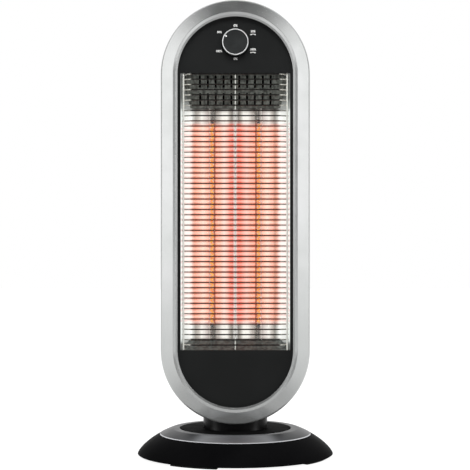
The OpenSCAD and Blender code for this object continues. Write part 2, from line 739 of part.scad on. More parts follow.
// Slotted plate that holds the spigot in the disc and takes the crank pin
swing_slot_half = crank_pin_d / 2 + slot_play;
swing_slot_in = motor_off - crank_r - swing_slot_half;
swing_slot_out = motor_off + crank_r + swing_slot_half + 0.2;
module swing_plate() {
  arm_half = swing_slot_half + 2.8;
  color("#a3a6a9") translate([0, 0, plate_low]) difference() {
    union() {
      cylinder(r = spigot_r + 5, h = swing_plate_t, $fn = 128);
      translate([-swing_slot_out + swing_slot_half, 0, 0]) cylinder(r = arm_half, h = swing_plate_t);
      translate([-swing_slot_out + swing_slot_half, -arm_half + 0.1, 0])
        cube([swing_slot_out - swing_slot_half, 2 * arm_half - 0.2, swing_plate_t]);
    }
    translate([0, 0, -1]) cylinder(r = 6.5, h = swing_plate_t + 2);
    for (x = [swing_slot_out - swing_slot_half, swing_slot_in + swing_slot_half])
      translate([-x, 0, -1]) cylinder(r = swing_slot_half, h = swing_plate_t + 2);
    translate([-swing_slot_out + swing_slot_half, -swing_slot_half, -1])
      cube([swing_slot_out - swing_slot_in - 2 * swing_slot_half, 2 * swing_slot_half, swing_plate_t + 2]);
    at_angles(spigot_r - 4, [0, 120, 240])
      translate([0, 0, -1]) cylinder(d = screw_d + 2 * screw_gap, h = swing_plate_t + 2);
  }
}
module swing_plate_screws() {
  color("#8b8d90") at_angles(spigot_r - 4, [0, 120, 240])
    translate([0, 0, plate_low]) screw(swing_plate_t + 5);
}

// Steel bracket that ties the neck to the back of the rear shell
bracket_half = 42;
bracket_rear = back_inner - 5;
bracket_screw_x = 28;
bracket_screw_up = 18;
bracket_rise = 28;
bracket_ahead = 32;
neck_bite = 9;
back_bite = 4;
module neck_bracket() {
  base_z = disc_top + neck_h;
  post_at = (neck_r - neck_wall - 5) * sin(45);
  color("#9ea1a4") difference() {
    union() {
      translate([-bracket_half, -bracket_ahead, base_z])
        cube([2 * bracket_half, bracket_rear + bracket_ahead, neck_bracket_t]);
      translate([-bracket_half, bracket_rear - neck_bracket_t, base_z])
        cube([2 * bracket_half, neck_bracket_t, bracket_rise]);
    }
    translate([0, 0, base_z - 1]) cylinder(r = 8, h = neck_bracket_t + 2);
    for (x = [-post_at, post_at], y = [-post_at, post_at])
      translate([x, y, base_z - 1]) cylinder(d = screw_d + 2 * screw_gap, h = neck_bracket_t + 2);
    for (x = [-bracket_screw_x, bracket_screw_x])
      translate([x, bracket_rear + 1, base_z + bracket_screw_up]) forward()
        cylinder(d = screw_d + 2 * screw_gap, h = neck_bracket_t + 2);
  }
}
module neck_screws() {
  base_z = disc_top + neck_h;
  post_at = (neck_r - neck_wall - 5) * sin(45);
  color("#8b8d90") {
    for (x = [-post_at, post_at], y = [-post_at, post_at])
      translate([x, y, base_z + neck_bracket_t]) mirror([0, 0, 1]) screw(neck_bracket_t + neck_bite);
    for (x = [-bracket_screw_x, bracket_screw_x])
      translate([x, bracket_rear - neck_bracket_t, base_z + bracket_screw_up])
        backward() screw(neck_bracket_t + back_bite);
  }
}

// Rear shell: black, with rounded back edges, screw posts, cooling slots and a hand grip
module rounded_box(w, h, r, y0, y1) {
  translate([0, y1, 0]) rotate([90, 0, 0]) linear_extrude(y1 - y0) {
    square([w - 2 * r, h], center = true);
    square([w, h - 2 * r], center = true);
    for (x = [-1, 1], z = [-1, 1]) translate([x * (w / 2 - r), z * (h / 2 - r)]) circle(r = r, $fn = 32);
  }
}
module rear_shell() {
  function edge(r, a) = [head_r - back_round + r * cos(a), head_back - back_round + r * sin(a)];
  outside = [for (a = steps(0, 90, 6)) edge(back_round, a)];
  inside = [for (a = steps(90, 0, 6)) edge(back_round - shell_wall, a)];
  section = concat(
    [[inner_r, split_y], [head_r, split_y]], outside, [[0, head_back], [0, back_inner]], inside);
  color("#1a1b1d") difference() {
    union() {
      round_head(section);
      for (p = post_places) translate([p[0], back_inner + 1, p[1]]) forward()
        cylinder(r = post_r, h = back_inner + 1 - panel_back);
      for (x = [-bracket_screw_x, bracket_screw_x])
        translate([x, back_inner + 1, disc_top + neck_h + bracket_screw_up]) forward()
          cylinder(r = 5, h = back_inner + 1 - bracket_rear);
      translate([0, 0, grip_mid])
        rounded_box(grip_w + 2 * shell_wall, grip_h + 2 * shell_wall, 8,
          head_back - grip_deep - shell_wall, head_back - 1);
    }
    for (p = post_places) {
      translate([p[0], head_back + 1, p[1]]) forward()
        cylinder(d = screw_head_d + 2 * screw_gap, h = head_back + 1 - panel_back - post_web);
      translate([p[0], panel_back + post_web + 1, p[1]]) forward()
        cylinder(d = screw_d + 2 * screw_gap, h = post_web + 2);
    }
    for (x = [-bracket_screw_x, bracket_screw_x])
      translate([x, bracket_rear - 1, disc_top + neck_h + bracket_screw_up]) backward()
        cylinder(d = screw_d, h = 5.5);
    translate([0, 0, grip_mid]) rounded_box(grip_w, grip_h, 6, head_back - grip_deep, head_back + 1);
    for (field = [vent_low, vent_high], k = [0:vent_count - 1])
      translate([0, 0, field + vent_pitch * k])
        rounded_box(vent_w, vent_h, vent_h / 2 - 0.2, back_inner - 2, head_back + 1);
    translate([0, 0, head_low - 5])
      cylinder(r = neck_r + seam, h = disc_top + neck_h - head_low + 5, $fn = 128);
  }
}
module shell_screws() {
  color("#8b8d90") for (p = post_places)
    translate([p[0], panel_back + post_web, p[1]]) forward() screw(post_web + panel_t + post_bite);
}

// Silver front frame: a crowned band with a stepped lip
module front_frame() {
  function crown(r0, r1, y0, drop, a) = [r0 + (r1 - r0) * sin(a), y0 + drop * (1 - cos(a))];
  lip_step = 2.4;
  outer = [for (a = steps(90, 0, 9)) crown(band_r, head_r, crest_y, band_drop, a)];
  inner = [for (a = steps(0, 90, 9))
    crown(band_r + 1.8, inner_r, crest_y + shell_wall, band_drop - 0.6, a)];
  section = concat(
    [[head_r, split_y]], outer,
    [[band_r - lip_step, crest_y + 6.5], [lip_r, crest_y + 7.7], [lip_r, panel_y],
     [lip_r + 2.4, panel_y], [lip_r + 2.6, crest_y + 9.3], [band_r, crest_y + 8.2]],
    inner, [[inner_r, split_y]]);
  color("#c9cbcc") difference() {
    union() {
      round_head(section);
      for (p = post_places) translate([p[0], panel_y, p[1]]) forward()
        cylinder(r = 4.5, h = panel_y - boss_tip);
    }
    for (p = post_places) translate([p[0], panel_y + 1, p[1]]) forward() cylinder(d = screw_d, h = 7);
  }
}

// Places of the small screws that hold the reflector's side flanges
module side_places() {
  for (x = [-side_screw_x, side_screw_x], z = side_screw_z) translate([x, 0, z]) children();
}

// Black panel with the window, the knob hole and ears under the screw posts
module front_panel() {
  color("#2c2d2f") difference() {
    union() {
      head_slab(panel_r, panel_y, panel_back);
      for (p = post_places) translate([p[0], panel_back, p[1]]) forward()
        rotate(p[0] == 0 ? 90 : p[0] < 0 ? 180 : 0) linear_extrude(panel_t) {
          circle(r = ear_r);
          translate([panel_r - 3 - post_ring, -ear_r]) square([post_ring - panel_r + 3, 2 * ear_r]);
        }
      flange_places() translate([0, flange_y, 0]) forward() cylinder(r = 4, h = flange_y - panel_back + 1);
      side_places() translate([0, flange_y, 0]) forward()
        cylinder(r = side_post_r, h = flange_y - panel_back + 1);
    }
    translate([-window_half, panel_y - 1, window_z0]) cube([window_w, panel_t + 2, window_h]);
    translate([0, panel_back + 1, knob_z]) forward() cylinder(r = knob_well_r, h = panel_t + 2);
    for (p = post_places) translate([p[0], panel_back + 1, p[1]]) forward()
      cylinder(d = screw_d + 2 * screw_gap, h = panel_t + 2);
    flange_places() translate([0, flange_y + 1, 0]) forward()
      cylinder(d = screw_d, h = flange_y - panel_back + 2.3);
    side_places() translate([0, flange_y + 1, 0]) forward()
      cylinder(d = small_screw_d, h = flange_y - panel_back + 2.3);
    for (x = [-24, 24]) translate([x, panel_back + 1, knob_z]) forward() cylinder(d = screw_d, h = 2.7);
  }
}

// Polished double trough with slanted side walls and outer flanges
half_path = concat([[flange_out, flange_y], [flange_in, flange_y]], half_trough);
function path_normal(p, i) =
  let (d = unit(p[min(i + 1, len(p) - 1)] - p[max(i - 1, 0)])) [-d[1], d[0]];
function bend_scale(p, i) =
  (i == 0 || i == len(p) - 1) ? 1
    : 1 / max(0.5, cos(acos(min(1, unit(p[i + 1] - p[i]) * unit(p[i] - p[i - 1]))) / 2));
function strip(p, t) =
  concat(p, [for (i = [len(p) - 1:-1:0]) p[i] + t * bend_scale(p, i) * path_normal(p, i)]);
sheet_path = concat([for (p = half_path) [-p[0], p[1]]], [for (i = [len(half_path) - 1:-1:0]) half_path[i]]);
module reflector() {
  color("#e4e4e2") difference() {
    translate([0, 0, reflector_low]) linear_extrude(reflector_high - reflector_low)
      polygon(strip(sheet_path, sheet_t));
    side_places() translate([0, flange_y + sheet_t + 1, 0]) forward()
      cylinder(d = small_screw_d + 2 * screw_gap, h = sheet_t + 2);
  }
}

// End plates of the reflector: a slope and an upright lip behind the panel
module end_slope(rise, side) {
  far_y = flange_y + end_plate_deep;
  half_near = wall_x(flange_y) - 0.5;
  half_far = wall_x(far_y) - 0.5;
  run = norm([end_plate_deep, rise]);
  translate([0, flange_y, side > 0 ? window_z1 + 0.5 : window_z0 - 0.5])
    rotate([atan2(-side * rise, end_plate_deep), 0, 0])
    translate([0, 0, side > 0 ? 0 : -sheet_t]) linear_extrude(sheet_t) difference() {
      polygon([[-half_near, 0], [half_near, 0], [half_far, run], [-half_far, run]]);
      if (side > 0) for (x = [-half_near, half_near]) translate([x, 0])
        square([2 * notch_w, 2 * notch_deep], center = true);
      children();
    }
}
module end_lip(side) {
  low = side > 0 ? window_z1 + 0.3 : window_z0 - lip_h;
  difference() {
    translate([-flange_in + 0.5, flange_y, low]) cube([2 * flange_in - 1, sheet_t, lip_h - 0.3]);
    flange_places() translate([0, flange_y + sheet_t + 1, 0]) forward()
      cylinder(d = screw_d + 2 * screw_gap, h = sheet_t + 2);
  }
}
// Places of the screws that hold the end plates to the panel
module flange_places() {
  for (x = [-flange_screw_x, flange_screw_x], z = [window_z1 + flange_screw_z, window_z0 - flange_screw_z])
    translate([x, 0, z]) children();
}
module upper_end_plate() {
  run = norm([end_plate_deep, upper_plate_drop]);
  row = run / 2;
  slot_l = row - slot_rest;
  color("#54575a") {
    end_lip(1);
    end_slope(upper_plate_drop, 1)
      for (k = [0:slot_count - 1], j = [0, 1])
        translate([(k - (slot_count - 1) / 2) * slot_pitch, row * (j + 0.5)]) {
          square([slot_w, slot_l - slot_w], center = true);
          for (e = [-1, 1]) translate([0, e * (slot_l - slot_w) / 2]) circle(d = slot_w, $fn = 24);
        }
  }
}
module lower_end_plate() {
  color("#54575a") {
    end_lip(-1);
    end_slope(lower_plate_rise, -1);
  }
}
module reflector_screws() {
  color("#8b8d90") flange_places() translate([0, flange_y + sheet_t, 0]) forward()
    screw(flange_y + sheet_t - panel_back + flange_bite);
}
module reflector_side_screws() {
  color("#8b8d90") side_places() translate([0, flange_y + sheet_t, 0]) forward()
    small_screw(flange_y + sheet_t - panel_back + flange_bite);
}

// Brackets across the troughs that carry the ceramic caps
module tube_bracket(z) {
  inner = concat([[wall_x(bracket_front), bracket_front]], half_trough);
  translate([0, 0, z]) linear_extrude(bracket_t) difference() {
    polygon(concat([for (p = inner) [-p[0], p[1]]], [for (i = [len(inner) - 1:-1:0]) inner[i]]));
    for (x = [-tube_x, tube_x]) translate([x, tube_y]) circle(r = 5.6);
  }
}
module upper_tube_bracket() { color("#9ea1a4") tube_bracket(cap_upper + cap_l); }
module lower_tube_bracket() { color("#9ea1a4") tube_bracket(cap_lower - cap_l - bracket_t); }
module tube_cap(mouth, up) {
  for (x = [-tube_x, tube_x]) translate([x, tube_y, mouth]) mirror([0, 0, up ? 0 : 1]) difference() {
    union() {
      cylinder(d = cap_d, h = cap_l);
      translate([0, 0, cap_l - eps]) cylinder(r = 5.5, h = bracket_t + 3);
    }
    translate([0, 0, -1]) cylinder(r = tube_r + run_fit, h = cap_grip + 1.2);
    translate([0, 0, -1]) cylinder(d = lead_d + 0.2, h = cap_l + 10);
  }
}
module upper_tube_caps() { color("#e9e7df") tube_cap(cap_upper, true); }
module lower_tube_caps() { color("#e9e7df") tube_cap(cap_lower, false); }

// Quartz tubes, the spiral carbon elements and their metal leads
module quartz_tube(x) {
  color("#f4d9c4", 0.4) translate([x, tube_y, tube_low]) ring(tube_r, tube_r - tube_wall, tube_len);
}
module quartz_tube_left() { quartz_tube(-tube_x); }
module quartz_tube_right() { quartz_tube(tube_x); }
element_r = element_d / 2 - strand_d / 2;
element_path = coil(element_r, element_turns, -glow_len / 2, glow_len / 2, 8, strand_d);
echo(element_gap = coil_gap(element_path, 8, strand_d));
module carbon_element(x) {
  color("#ff7a1e") translate([x, tube_y, tube_mid]) swept_tube(element_path, strand_d / 2, 6, [1, 0.3, 0]);
}
module carbon_element_left() { carbon_element(-tube_x); }
module carbon_element_right() { carbon_element(tube_x); }
module element_leads() {
  clamp_l = 5;
  color("#b9bbbd") for (x = [-tube_x, tube_x], side = [0, 1])
    translate([x, tube_y, tube_mid]) mirror([0, 0, side]) {
      translate([0, 0, glow_len / 2]) cylinder(d = element_d - 0.4, h = clamp_l);
      translate([0, 0, glow_len / 2 + clamp_l - eps])
        cylinder(d = lead_d, h = tube_len / 2 - cap_grip + cap_l + bracket_t + 3 - glow_len / 2 - clamp_l);
    }
}

// Wire guard: bent horizontal wires, two upright edge wires and one centre wire
module bent_wire(z) {
  flat = guard_flat_w / 2;
  end_x = edge_x + 1.4;
  leg = [end_x - flat, (end_x - flat) * tan(wire_bend)];
  translate([-flat, guard_y, z]) rotate([0, 90, 0]) cylinder(r = wire_r, h = guard_flat_w);
  for (side = [0, 1]) mirror([side, 0, 0]) translate([flat - wire_r / 2, guard_y, z])
    rotate([0, 90, wire_bend]) cylinder(r = wire_r - 0.07, h = norm(leg) + wire_r / 2);
}
module guard_wires() {
  color("#b9bbbb") for (k = [0:wire_count - 1]) bent_wire(first_wire_z - k * wire_pitch);
}
module guard_edge_wires() {
  color("#c8caca") for (x = [-edge_x, edge_x])
    translate([x, edge_y, window_z0 - lip_h + 0.5]) cylinder(r = edge_wire_r, h = window_h + 2 * lip_h - 1);
}
module guard_centre_wire() {
  color("#c8caca") translate([0, guard_y + wire_r + centre_wire_r, window_z0 + 0.5])
    cylinder(r = centre_wire_r, h = window_h - 1);
}

// Rotary switch behind the panel, with its plate, terminals and screws
module switch_plate() {
  color("#2a2c2e") difference() {
    translate([-switch_plate_half[0], panel_back, knob_z - switch_plate_half[1]])
      cube([2 * switch_plate_half[0], switch_plate_t, 2 * switch_plate_half[1]]);
    translate([0, switch_front + 1, knob_z]) forward()
      cylinder(r = shaft_r + run_fit, h = switch_plate_t + 2);
    for (x = [-switch_screw_x, switch_screw_x]) translate([x, switch_front + 1, knob_z]) forward()
      cylinder(d = screw_d + 2 * screw_gap, h = switch_plate_t + 2);
  }
}
module rotary_switch() {
  color("#2b2725") difference() {
    translate([-switch_side / 2, switch_front, knob_z - switch_side / 2])
      cube([switch_side, switch_deep, switch_side]);
    translate([0, switch_front - 1, knob_z]) backward() cylinder(r = shaft_r + run_fit, h = 7.5);
  }
}
module switch_terminals() {
  color("#c9a24a") for (x = [-12, -5, 5, 12])
    translate([x - 2.4, switch_back, knob_z + 7]) cube([4.8, 8, 0.8]);
}
module switch_screws() {
  color("#8b8d90") for (x = [-switch_screw_x, switch_screw_x])
    translate([x, switch_front, knob_z]) forward() screw(switch_plate_t + panel_t - 0.9);
}
module thermal_cutout() {
  color("#3a3530") translate([0, bracket_front + cutout_r + 0.4, cap_upper + cap_l + bracket_t]) {
    cylinder(r = cutout_r, h = 7);
    for (side = [-1, 1]) translate([side * 2.4 - 0.3, -1.5, 7 - eps]) cube([0.6, 3, 5]);
  }
}
head_route = [
  [0, 0, 29], [0, 0, 45], [0, 0, 80], [0, 4, 104], [0, 9, 130], [0, 9, 200], [0, 9, 300], [0, 9, 400],
  [0, 9, 480], [0, 8, 505], [0, 3, 526], [0, -3, 538], [0, -8, 543.6], [0, -10.9, 544.8],
  [0, -12.4, 544.8], [0, -13.9, 544.8]
];
module head_wiring() {
  color("#7a2d22") swept_tube(route(head_route, 3), 2.6, 8, [1, 0, 0]);
}

// Knob with its silver ring, pointer dot and shaft
module knob() {
  color("#202224") translate([0, 0, knob_z]) difference() {
    union() {
      translate([0, knob_back, 0]) forward()
        cylinder(r = knob_r, h = knob_back - knob_front - ring_deep + 0.8);
      translate([0, knob_back, 0]) forward() cylinder(r = knob_r - knob_ring_w, h = knob_back - knob_front);
    }
    difference() {
      translate([0, knob_back + 1, 0]) forward() cylinder(r = knob_r - 2.6, h = knob_back - knob_front - 3);
      translate([0, knob_back + 2, 0]) forward() cylinder(r = shaft_r + 3, h = knob_h + 4);
    }
    translate([0, knob_back + 1, 0]) forward() cylinder(r = shaft_r, h = knob_back - knob_front - 4);
  }
}
module knob_ring() {
  color("#d4d6d7") translate([0, knob_front + ring_deep - 0.8, knob_z]) forward()
    ring(knob_r, knob_r - knob_ring_w, ring_deep);
}
module knob_pointer() {
  color("#e8e9ea") translate([0, knob_front, knob_z]) rotate([0, -pointer_turn, 0])
    translate([0, 0, pointer_r]) forward() cylinder(d = pointer_d, h = 0.4);
}
module switch_shaft() {
  tip = knob_front + 5;
  color("#9ea1a4") translate([0, switch_front + 6, knob_z]) forward()
    cylinder(r = shaft_r, h = switch_front + 6 - tip);
}

base_shell();
base_trim_ring();
base_top_disc();
base_cover();
rubber_feet();
cover_screws();
disc_screws();
cord_gland();
terminal_block();
terminal_screws();
tip_switch_holder();
tip_switch_body();
tip_switch_screws();
tip_plunger();
tip_spring();
swing_motor();
motor_screws();
motor_shaft();
crank_arm();
crank_pin();
pivot_washer();
base_wiring();
neck_collar();
swing_plate();
swing_plate_screws();
neck_bracket();
neck_screws();
rear_shell();
shell_screws();
front_frame();
front_panel();
reflector();
upper_end_plate();
lower_end_plate();
reflector_screws();
reflector_side_screws();
upper_tube_bracket();
lower_tube_bracket();
upper_tube_caps();
lower_tube_caps();
quartz_tube_left();
quartz_tube_right();
carbon_element_left();
carbon_element_right();
element_leads();
guard_wires();
guard_edge_wires();
guard_centre_wire();
switch_plate();
rotary_switch();
switch_terminals();
switch_screws();
thermal_cutout();
head_wiring();
knob();
knob_ring();
knob_pointer();
switch_shaft();
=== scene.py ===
# %% [markdown]
# # A carbon heater, surface by surface
# The real heater has two glowing quartz tubes in a polished double trough, behind a wire guard, in a tall
# head with a silver frame. All that you see here is either a solid that was packed before and only gets a
# finish, or a new surface worked out with numpy, where a smooth curve or finer detail is wanted.

# %% Start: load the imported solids
import bmesh
import bpy
import numpy as np
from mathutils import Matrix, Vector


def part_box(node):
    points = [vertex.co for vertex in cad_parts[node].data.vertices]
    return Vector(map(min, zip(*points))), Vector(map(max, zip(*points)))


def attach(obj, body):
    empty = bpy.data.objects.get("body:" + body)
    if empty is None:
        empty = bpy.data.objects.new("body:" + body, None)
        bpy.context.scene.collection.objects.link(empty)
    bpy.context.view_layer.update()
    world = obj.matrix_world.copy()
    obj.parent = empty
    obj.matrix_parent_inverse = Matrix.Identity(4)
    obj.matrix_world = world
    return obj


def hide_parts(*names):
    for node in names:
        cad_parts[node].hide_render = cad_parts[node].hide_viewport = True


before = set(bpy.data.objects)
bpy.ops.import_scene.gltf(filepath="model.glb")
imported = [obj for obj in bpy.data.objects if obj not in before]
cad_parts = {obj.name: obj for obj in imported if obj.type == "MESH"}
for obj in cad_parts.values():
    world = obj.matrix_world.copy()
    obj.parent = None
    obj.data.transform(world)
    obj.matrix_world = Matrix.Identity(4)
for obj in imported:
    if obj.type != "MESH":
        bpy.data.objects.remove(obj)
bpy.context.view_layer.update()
scene = bpy.context.scene

# %% [markdown]
# ## Camera
# A photo of a tall thing is taken from far away with a long lens, level with its middle, so that its sides
# stay parallel. A camera could be placed by eye; here the lens, the distance and the height were worked out
# from the ellipses of the round base.

# %% Camera
camera = bpy.data.objects.new("camera", bpy.data.cameras.new("camera"))
scene.collection.objects.link(camera)
scene.camera = camera
camera.location = (-0.0004, -1.950, 0.2937)
camera.rotation_euler = (np.pi / 2, 0, 0)
camera.data.lens = 111.9
camera.data.sensor_width = 36
print("camera height in m:", camera.location.z)

# %% [markdown]
# ## Helpers for finishes
# A finish is a tree of nodes. It could be drawn in the shader editor, but in writing it can be used again.
# Colours are picked on a screen, so they are written as sRGB hex, while Blender computes with linear light:
# one function turns one into the other. A second adds a node with its settings and links, and a third fills
# in the stops of a colour ramp.

# %% Colour and node helpers
MM = 0.001


def shade(hex_code):
    """Linear RGBA of an sRGB hex colour: the standard curve, with its straight piece near black."""
    code = hex_code.lstrip("#")
    s = np.array([int(code[i:i + 2], 16) for i in (0, 2, 4)]) / 255
    linear = np.where(s <= 0.04045, s / 12.92, ((s + 0.055) / 1.055) ** 2.4)
    return (*linear.tolist(), 1.0)


def put(tree, kind, inputs=None, **settings):
    """Adds one node: settings go on the node, inputs are values, or sockets that are linked."""
    made = tree.nodes.new(kind)
    for name, value in settings.items():
        setattr(made, name, value)
    for name, value in (inputs or {}).items():
        if isinstance(value, bpy.types.NodeSocket):
            tree.links.new(value, made.inputs[name])
        else:
            made.inputs[name].default_value = value
    return made


def with_stops(ramp, stops, last=1):
    """Colour of a ramp node, once its stops are filled in from pairs (value, hex colour), 0 to `last`."""
    elements = ramp.color_ramp.elements
    while len(elements) < len(stops):
        elements.new(0.5)
    for element, (value, colour) in zip(elements, stops):
        element.position, element.color = value / last, shade(colour)
    return ramp.outputs["Color"]


def per_mm(size):
    """Texture scale of a pattern whose features are `size` millimetres apart, on coordinates in metres."""
    return 1 / (size * MM)


print("mid grey in linear light:", round(shade("#808080")[0], 3))

# %% [markdown]
# ## One recipe for moulded, sprayed, cast and drawn surfaces
# Most real finishes differ in the same few ways: their colour drifts a little, their gloss is not even,
# and they have a fine grain. Each could have a tree of its own, but one recipe with sizes in millimetres
# says it only once. A drawn or brushed metal has its grain stretched along one direction; a sparked mould
# leaves small cells instead of soft noise.

# %% The recipe
def finish(name, dark, light, drift, gloss, grain, depth, stretch=(1, 1, 1), cells=False, **sockets):
    """Colour drifts between two shades over `drift` mm, roughness between the pair `gloss`, and a grain of
    `grain` mm stands `depth` mm high. Other values are set on the shader's own sockets."""
    made = bpy.data.materials.new(name)
    made.use_nodes = True
    tree = made.node_tree
    shader = tree.nodes["Principled BSDF"]
    place = put(tree, "ShaderNodeMapping", {
        "Vector": put(tree, "ShaderNodeTexCoord").outputs["Object"], "Scale": stretch}).outputs["Vector"]
    cloud = put(tree, "ShaderNodeTexNoise", {"Vector": place, "Scale": per_mm(drift), "Detail": 4.0})
    ramp = put(tree, "ShaderNodeValToRGB", {"Fac": cloud.outputs["Fac"]})
    patch = put(tree, "ShaderNodeTexNoise", {"Vector": place, "Scale": per_mm(drift * 0.37), "Detail": 2.0})
    rough = put(tree, "ShaderNodeMapRange", {
        "Value": patch.outputs["Fac"], "From Min": 0.3, "From Max": 0.7, "To Min": gloss[0],
        "To Max": gloss[1]})
    if cells:
        fine = put(tree, "ShaderNodeTexVoronoi", {"Vector": place, "Scale": per_mm(grain)})
    else:
        fine = put(tree, "ShaderNodeTexNoise", {"Vector": place, "Scale": per_mm(grain), "Detail": 3.0})
    relief = put(tree, "ShaderNodeBump", {
        "Height": fine.outputs["Distance" if cells else "Fac"], "Distance": depth * MM, "Strength": 1.0})
    tree.links.new(with_stops(ramp, [(0.36, dark), (0.64, light)]), shader.inputs["Base Color"])
    tree.links.new(rough.outputs["Result"], shader.inputs["Roughness"])
    tree.links.new(relief.outputs["Normal"], shader.inputs["Normal"])
    for socket, value in sockets.items():
        shader.inputs[socket.replace("_", " ")].default_value = value
    return made


# %% [markdown]
# ## Paint and painted light that change over a piece
# Some finishes change over a piece: the base ring shines in rays of painted highlight, the guard's wires
# turn reddish over the glow and carry painted highlights at their bent ends, and the neck has painted gleams
# from the dim room. An image could show that, but a ramp over a place on the piece stays sharp and needs no
# file. One helper gives that place, one lays a ramp over it, and one mixes it into the colour.

# %% Helpers for changing paint
def place_of(tree):
    """Where a point of the piece is: its x, y and z in metres, and |x|, its distance from the middle."""
    place = put(tree, "ShaderNodeSeparateXYZ", {"Vector": put(tree, "ShaderNodeTexCoord").outputs["Object"]})
    aside = put(tree, "ShaderNodeMath", {0: place.outputs["X"]}, operation="ABSOLUTE")
    return place.outputs, aside.outputs["Value"]


def along(tree, value, stops, unit=1, blend="LINEAR"):
    """Colour over a value: a ramp with a stop (value, hex colour) at each named value, in the given unit."""
    last = stops[-1][0]
    share = put(tree, "ShaderNodeMapRange", {"Value": value, "From Max": last * unit})
    ramp = put(tree, "ShaderNodeValToRGB", {"Fac": share.outputs["Result"]})
    ramp.color_ramp.interpolation = blend
    return with_stops(ramp, stops, last)


def mix_in(made, socket, factor, other):
    """Mixes a colour, as hex or as a socket, into the shader's own: at factor 1 only the new one is left."""
    tree = made.node_tree
    target = tree.nodes["Principled BSDF"].inputs[socket]
    colour = shade(other) if isinstance(other, str) else other
    mix = put(tree, "ShaderNodeMix", {"Factor": factor, 6: target.links[0].from_socket, 7: colour},
              data_type="RGBA")
    tree.links.new(mix.outputs[2], target)
    return made


def stepwise(tree, level, steps):
    """A level that changes in smooth steps (value, start, end, beyond), one after the other: as a value goes
    from `start` to `end`, the level so far turns into `beyond`, a number or a socket."""
    for value, start, end, beyond in steps:
        level = put(tree, "ShaderNodeMapRange", {
            "Value": value, "From Min": start, "From Max": end, "To Min": level, "To Max": beyond},
            interpolation_type="SMOOTHSTEP").outputs["Result"]
    return level


def between(tree, height, low, high, soft):
    """1 between two heights and 0 beyond them, with smooth steps that reach `soft` metres to each side."""
    return stepwise(tree, 0, [(height, low - soft, low + soft, 1), (height, high - soft, high + soft, 0)])


# %% Painted parts
def base_ring_paint():
    """Dark silver paint with soft rays of painted highlight, lighter and darker by the angle from the front,
    and a painted highlight along its outer edge.
    """
    made = finish("sprayed_dark_silver", "#6a6b6d", "#747577", 50, (0.3, 0.37), 0.9, 0.005, Metallic=0.6,
                  Specular_IOR_Level=0.1)
    tree = made.node_tree
    flat = put(tree, "ShaderNodeMapping", {
        "Vector": put(tree, "ShaderNodeTexCoord").outputs["Object"], "Scale": (1, 1, 0)}).outputs["Vector"]
    way = put(tree, "ShaderNodeVectorMath", {0: flat}, operation="NORMALIZE").outputs["Vector"]
    across = put(tree, "ShaderNodeMath", {
        0: put(tree, "ShaderNodeSeparateXYZ", {"Vector": way}).outputs["X"]}, operation="ABSOLUTE")
    # painted highlights: rays that are lighter and darker by the angle from the front
    rays = along(tree, across.outputs["Value"], [
        (0, "#7c7d80"), (0.1, "#808184"), (0.28, "#9c9da0"), (0.45, "#9e9fa2"), (0.58, "#3c3d3f"),
        (0.72, "#1c1d1e"), (0.86, "#1a1b1c"), (1, "#242526")], blend="B_SPLINE")
    mix_in(made, "Base Color", 0.85, rays)
    # a painted highlight along the outer edge of the ring
    reach = put(tree, "ShaderNodeVectorMath", {0: flat}, operation="LENGTH").outputs["Value"]
    edge = put(tree, "ShaderNodeMapRange", {"Value": reach, "From Min": 0.0995, "From Max": 0.0998})
    return mix_in(made, "Base Color", edge.outputs["Result"], "#d4d5d8")


def frame_paint():
    """Silver paint of the frame. Near the lower end it is made less metallic, a painted lift that makes it
    mirror less and look lighter there, and over the lower half it is painted a little greyer, as painted
    shade."""
    made = finish("sprayed_silver_paint", "#dddfde", "#e6e7e7", 60, (0.22, 0.27), 0.9, 0.003)
    tree = made.node_tree
    place = place_of(tree)[0]
    # painted lift: less metallic near the lower end, so the band there looks lighter
    metallic_with_lift = put(tree, "ShaderNodeMapRange", {
        "Value": place["Z"], "From Min": 0.056, "From Max": 0.084, "To Min": 0.75, "To Max": 0.94})
    tree.links.new(metallic_with_lift.outputs["Result"], tree.nodes["Principled BSDF"].inputs["Metallic"])
    # painted shade: a little greyer over the lower half
    low = put(tree, "ShaderNodeMapRange", {"Value": place["Z"], "From Min": 0.26, "From Max": 0.16})
    return mix_in(made, "Base Color", low.outputs["Result"], "#d5d7d6")


def neck_paint():
    """Black of the neck with two soft upright painted gleams, 27 mm to each side of its middle."""
    made = finish("satin_black_neck", "#090909", "#0e0e0f", 30, (0.24, 0.3), 1.1, 0.004, IOR=1.53,
                  Specular_IOR_Level=0.06)
    aside = place_of(made.node_tree)[1]
    # painted highlights: two soft upright gleams in the colour of the neck
    painted_gleams = along(made.node_tree, aside, [
        (0, "#090909"), (17, "#0a0a0a"), (23, "#202020"), (27, "#525252"), (31, "#202020"), (37, "#0a0a0a"),
        (50, "#0a0a0a")], MM, "B_SPLINE")
    return mix_in(made, "Base Color", 0.85, painted_gleams)


painted = {"silver_paint": frame_paint(), "dark_silver": base_ring_paint(), "neck_black": neck_paint()}
print("painted parts:", ", ".join(painted))

# %% [markdown]
# ## The finishes of this heater
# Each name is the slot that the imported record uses. ABS has an IOR near 1.53 and looks black with a soft
# sheen; the rear shell is moulded in a sparked tool, so it is duller than the base. The frame is ABS
# sprayed with silver paint, whose flakes act like metal. Grains finer than a pixel are drawn about three
# times too coarse. Black parts that the photo shows deeper get a lower specular level.

